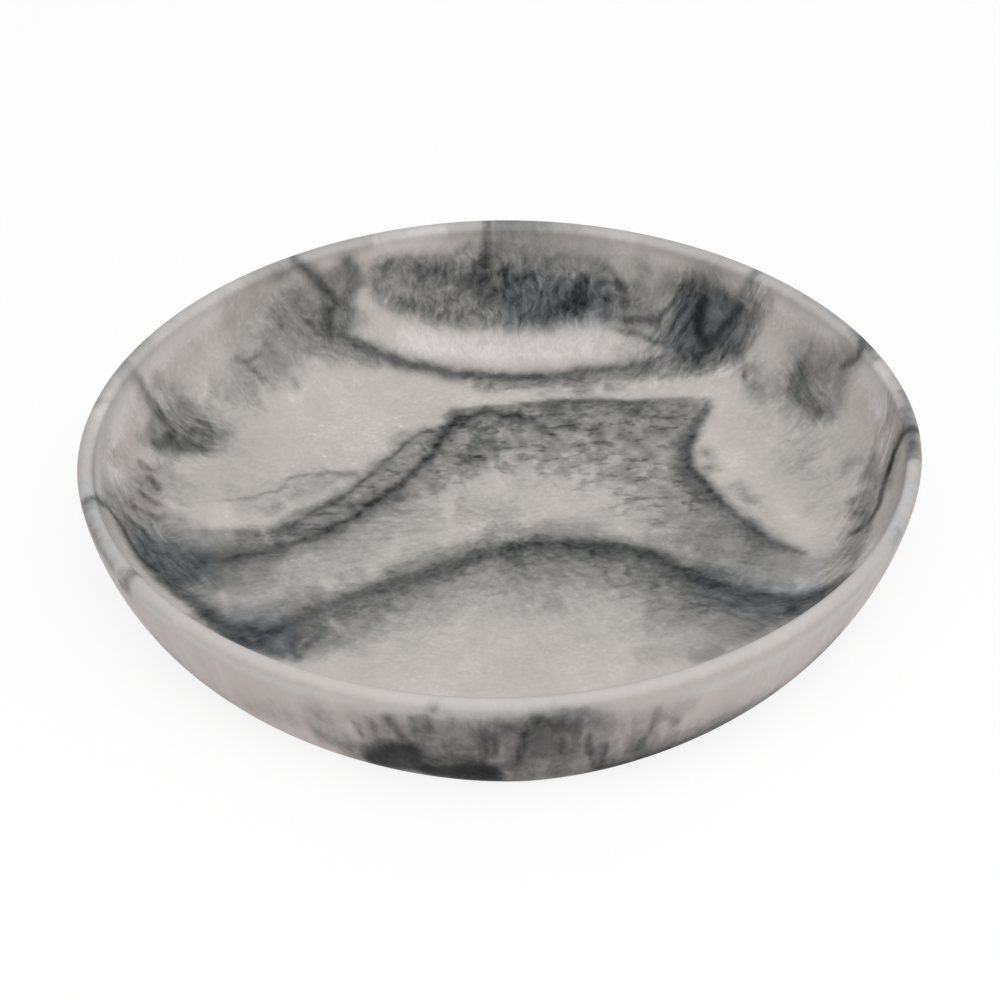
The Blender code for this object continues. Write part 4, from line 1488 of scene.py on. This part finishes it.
# %% A net of flecks
tree, given, result = new_group("net_of_flecks", Place=VECTOR, Scale=NUMBER, Breadth=NUMBER)
net_group = tree
swirl = add("ShaderNodeTexNoise", Vector=given["Place"], Scale=times(given["Scale"], 1.6), Detail=2.0)
centred = vector_of("SUBTRACT", swirl.outputs["Color"], (0.5, 0.5, 0.5))
push = vector_of("SCALE", centred, Scale=math_of("DIVIDE", 1.3, given["Scale"]))
cells = tree.nodes.new("ShaderNodeTexVoronoi")
cells.feature = "DISTANCE_TO_EDGE"
plug(cells, "Vector", vector_of("ADD", given["Place"], push))
plug(cells, "Scale", given["Scale"])
line = smoothstep(cells.outputs["Distance"], given["Breadth"], 0.0)
breaks = smoothstep(noise_of(given["Place"], times(given["Scale"], 0.7)), 0.4, 0.62)
plug(result, "Mask", times(line, breaks))
print(f"{net_group.name}: {len(tree.nodes)} nodes")

# %% What the resin's material reads
FOOT_EDGE = 0.004

resin, tree = new_material("marbled_resin")


def attribute(name):
    """The three numbers that the mesh's points have under a name."""
    node = tree.nodes.new("ShaderNodeAttribute")
    node.attribute_name = name
    return node.outputs["Vector"]


place = tree.nodes.new("ShaderNodeTexCoord").outputs["Object"]
ink_and_painted_shade_in, painted_light_in, fleck_in = part(attribute("pour"))
flow_in = attribute("flow")
wall_in, top_in, warm_in = part(attribute("zone"))
across_in, along_in, comb_in = part(attribute("comb"))
floor_share = minus(1.0, wall_in)
above_foot = smoothstep(part(place)[2], 0.0, FOOT_EDGE)

# %% The density of the strokes
clear = 1.0
for number in range(VEIN_LAYERS):
    mask = grouped(vein_group, Vein=attribute(f"vein_{number + 1}"), Place=place)
    clear = times(clear, minus(1.0, mask))
clear = times(clear, minus(1.0, ink_and_painted_shade_in))
density = minus(1.0, clear)
middle = times(times(density, 4.0), minus(1.0, density))  # 1 where the density is a half

# %% Flecks where the pigment is thin: a net of cells, and short dashes
FLECK_SHAPE = (0.8, 1.0, 1.0)
DASH_SHAPE = (0.5, 1.0, 1.0)

wide = stretched(place, FLECK_SHAPE)
net = grouped(net_group, Place=wide, Scale=125.0, Breadth=0.28)
dashes = smoothstep(noise_of(stretched(place, DASH_SHAPE), 290.0), 0.52, 0.7)
spots = plus(times(net, 0.17), times(dashes, 0.2))
spot_share = times(times(plus(fleck_in, times(middle, 0.2)), floor_share), above_foot)
density = plus(density, times(spots, spot_share))

# %% Grain, and painted glints on the floor
CURL_REACH = (0.011, 0.011, 0.011)
WALL_SHAPE = (1.0, 1.0, 0.6)

curl = add("ShaderNodeTexNoise", Vector=place, Scale=100.0, Detail=1.5)
curled = vector_of("MULTIPLY_ADD", curl.outputs["Color"], CURL_REACH, flow_in)
along_wall = stretched(curled, WALL_SHAPE)
calm = minus(1.0, times(top_in, 0.75))


def grain(scale, detail, rough):
    """Noise about zero, drawn out a little along X on the floor and towards the lip on the walls."""
    floor_grain = times(noise_of(wide, scale, detail, rough), floor_share)
    wall_grain = times(noise_of(along_wall, scale, detail, rough), wall_in)
    return minus(plus(floor_grain, wall_grain), 0.5)


def weigh(pattern, plain, mid, far=0.0):
    """A pattern times its share: plain everywhere, mid in half-strength pigment, far in flecks."""
    share = plus(times(middle, mid), times(calm, plain))
    share = plus(share, times(times(fleck_in, wall_in), far))
    return times(pattern, share)


grain_fine = grain(640.0, 2.0, 0.6)
stir = weigh(grain_fine, 0.12, 0.09)
stir = plus(stir, weigh(grain(330.0, 2.0, 0.55), 0.05, 0.25, 0.45))
stir = plus(stir, weigh(grain(150.0, 3.0, 0.55), 0.05, 0.26, 0.36))
stir = plus(stir, weigh(noise_about_zero(place, 45.0, 3.0), 0.13, 0.18))
# painted glints: small pale specks on the floor that stand in for glints of light on the satin
painted_glints = smoothstep(noise_of(wide, 480.0, 1.0), 0.58, 0.85)
stir = minus(stir, times(painted_glints, times(floor_share, 0.06)))

# %% Drips down the outside, and clouds under the foot
DRIP_SHAPE = (1.0, 1.0, 0.1)

warm_share = times(warm_in, 1.0, clamp=True)
drips = noise_about_zero(stretched(flow_in, DRIP_SHAPE), 150.0, 3.0, 0.6)
drip_share = times(plus(times(middle, 0.4), 0.16), above_foot)
stir = plus(stir, times(drips, times(drip_share, warm_share)))
clouds = smoothstep(noise_of(place, 24.0, 5.0, 0.6), 0.42, 0.72, 0.0, 0.6)
stir = plus(stir, times(clouds, minus(1.0, above_foot)))

# %% Fibres beside the combed paths, about seven times as long as they are wide
SWAY_MM = 5.0
ACROSS_SCALE, ALONG_SCALE = 0.42, 0.06

sway = times(noise_about_zero(place, 70.0, 1.0), SWAY_MM)
across = times(plus(across_in, sway), ACROSS_SCALE)
lanes = add("ShaderNodeCombineXYZ", X=across, Y=times(along_in, ALONG_SCALE))
fibres = noise_about_zero(lanes.outputs["Vector"], 1.0, 3.0, 0.6)
stir = plus(stir, times(times(fibres, times(comb_in, above_foot)), 0.85))

# %% The whole density
# painted light takes the ground's base density away
ground = minus(0.1, times(painted_light_in, 0.1))
density = plus(times(density, 0.9), ground)
density = plus(density, stir, clamp=True)


# %% Colour
def srgb(red, green, blue):
    """Linear values of a colour as it looks on a screen, each from 0 to 255."""
    shown = np.array((red, green, blue)) / 255.0
    linear = np.where(shown <= 0.04045, shown / 12.92, ((shown + 0.055) / 1.055) ** 2.4)
    return (*linear, 1.0)


RESIN_COLOURS = (
    (0.0, srgb(217, 213, 211)),
    (0.1, srgb(187, 182, 178)),
    (0.3, srgb(146, 144, 141)),
    (0.55, srgb(101, 102, 100)),
    (0.8, srgb(57, 58, 59)),
    (1.0, srgb(11, 12, 14)),
)
COOL_TINT = (0.94, 1.0, 1.08, 1.0)
WARM_TINT = (1.05, 0.985, 1.0, 1.0)

ramp = tree.nodes.new("ShaderNodeValToRGB")
while len(ramp.color_ramp.elements) < len(RESIN_COLOURS):
    ramp.color_ramp.elements.new(0.5)
for element, (position, colour) in zip(ramp.color_ramp.elements, RESIN_COLOURS):
    element.position = position
    element.color = colour
plug(ramp, "Fac", density)
# the cool tint is the veins' cool pigment and the painted sheen along the lip
cool_share = times(warm_in, -1.0, clamp=True)
tinted = tinted_by(cool_share, ramp.outputs["Color"], COOL_TINT)
tinted = tinted_by(warm_share, tinted, WARM_TINT)

# %% The satin surface
ROUGHNESS = 0.46
SPECULAR = 0.06
BUMP_DEPTH = 0.0001

roughness = plus(times(grain_fine, 0.16), plus(times(density, 0.08), ROUGHNESS))
bump = add("ShaderNodeBump", Strength=0.2, Distance=BUMP_DEPTH)
plug(bump, "Height", noise_of(place, 420.0, 2.0, 0.6))
shader = add("ShaderNodeBsdfPrincipled", Base_Color=tinted, Roughness=roughness)
plug(shader, "Specular IOR Level", SPECULAR)
plug(shader, "Normal", bump.outputs["Normal"])
add("ShaderNodeOutputMaterial", Surface=shader.outputs["BSDF"])
mesh.materials.append(resin)
print(f"{resin.name}: {len(tree.nodes)} nodes")

# %% [markdown]
# ## Light, floor and background
#
# A pale object on a white sheet is lit by one large soft lamp overhead, with the rest of the room
# as fill. The lamps stay at a level where a colour renders about as it is written. The background
# is white because the camera and reflections see it white, not because more light falls on it.

# %% The floor
def seen_or_mirrored():
    """1 for rays from the camera, off a glossy surface or through glass, and 0 for light that falls."""
    ray = tree.nodes.new("ShaderNodeLightPath").outputs
    either = ray["Is Camera Ray"]
    for kind in ("Is Glossy Ray", "Is Transmission Ray"):
        either = math_of("MAXIMUM", either, ray[kind])
    return either


def mixed(fac, first, second):
    """A mix of two shaders: the first at 0 and the second at 1."""
    mix = add("ShaderNodeMixShader", Fac=fac)
    plug(mix, 1, first.outputs[0])
    plug(mix, 2, second.outputs[0])
    return mix.outputs["Shader"]


FLOOR_SIDE = 8.0
WHITE = (1.0, 1.0, 1.0, 1.0)
SHEET_WHITE = (0.9, 0.9, 0.9, 1.0)
SHEET_GLOW = 0.85

floor_material, tree = new_material("white_sheet")
sheet = add("ShaderNodeBsdfDiffuse", Color=SHEET_WHITE)
glow = add("ShaderNodeEmission", Color=WHITE, Strength=1.0)
add("ShaderNodeOutputMaterial", Surface=mixed(times(seen_or_mirrored(), SHEET_GLOW), sheet, glow))

floor_mesh = bpy.data.meshes.new("floor")
half = FLOOR_SIDE / 2
floor_mesh.from_pydata(
    [(-half, -half, 0.0), (half, -half, 0.0), (half, half, 0.0), (-half, half, 0.0)], [], [(0, 1, 2, 3)]
)
floor_mesh.materials.append(floor_material)
floor = bpy.data.objects.new("floor", floor_mesh)
bpy.context.collection.objects.link(floor)
print(f"{floor.name}: {FLOOR_SIDE:.0f} m square")

# %% The world: white to the camera and in reflections, a plain fill light to everything else
FILL_LEVEL = 0.52

world = bpy.data.worlds.new("studio")
world.use_nodes = True
tree = world.node_tree
tree.nodes.clear()
fill = add("ShaderNodeBackground", Color=WHITE, Strength=FILL_LEVEL)
white = add("ShaderNodeBackground", Color=WHITE, Strength=1.0)
add("ShaderNodeOutputWorld", Surface=mixed(seen_or_mirrored(), fill, white))
bpy.context.scene.world = world
print(f"{world.name}: a fill of {FILL_LEVEL}")

# %% The lamps
def softbox(name, place, aim, side, watts):
    """A square lamp at a place, turned to face an aim."""
    data = bpy.data.lights.new(name, "AREA")
    data.shape = "SQUARE"
    data.size = side
    data.energy = watts
    lamp = bpy.data.objects.new(name, data)
    lamp.location = place
    lamp.rotation_mode = "QUATERNION"
    lamp.rotation_quaternion = (Vector(aim) - Vector(place)).to_track_quat("-Z", "Y")
    bpy.context.collection.objects.link(lamp)
    print(f"{name}: {side:.1f} m square, {watts:.0f} W")


softbox("overhead", (0.1, -0.5, 1.4), (0.0, 0.0, 0.0), 1.3, 17.0)

bpy.context.scene.view_settings.view_transform = "Standard"
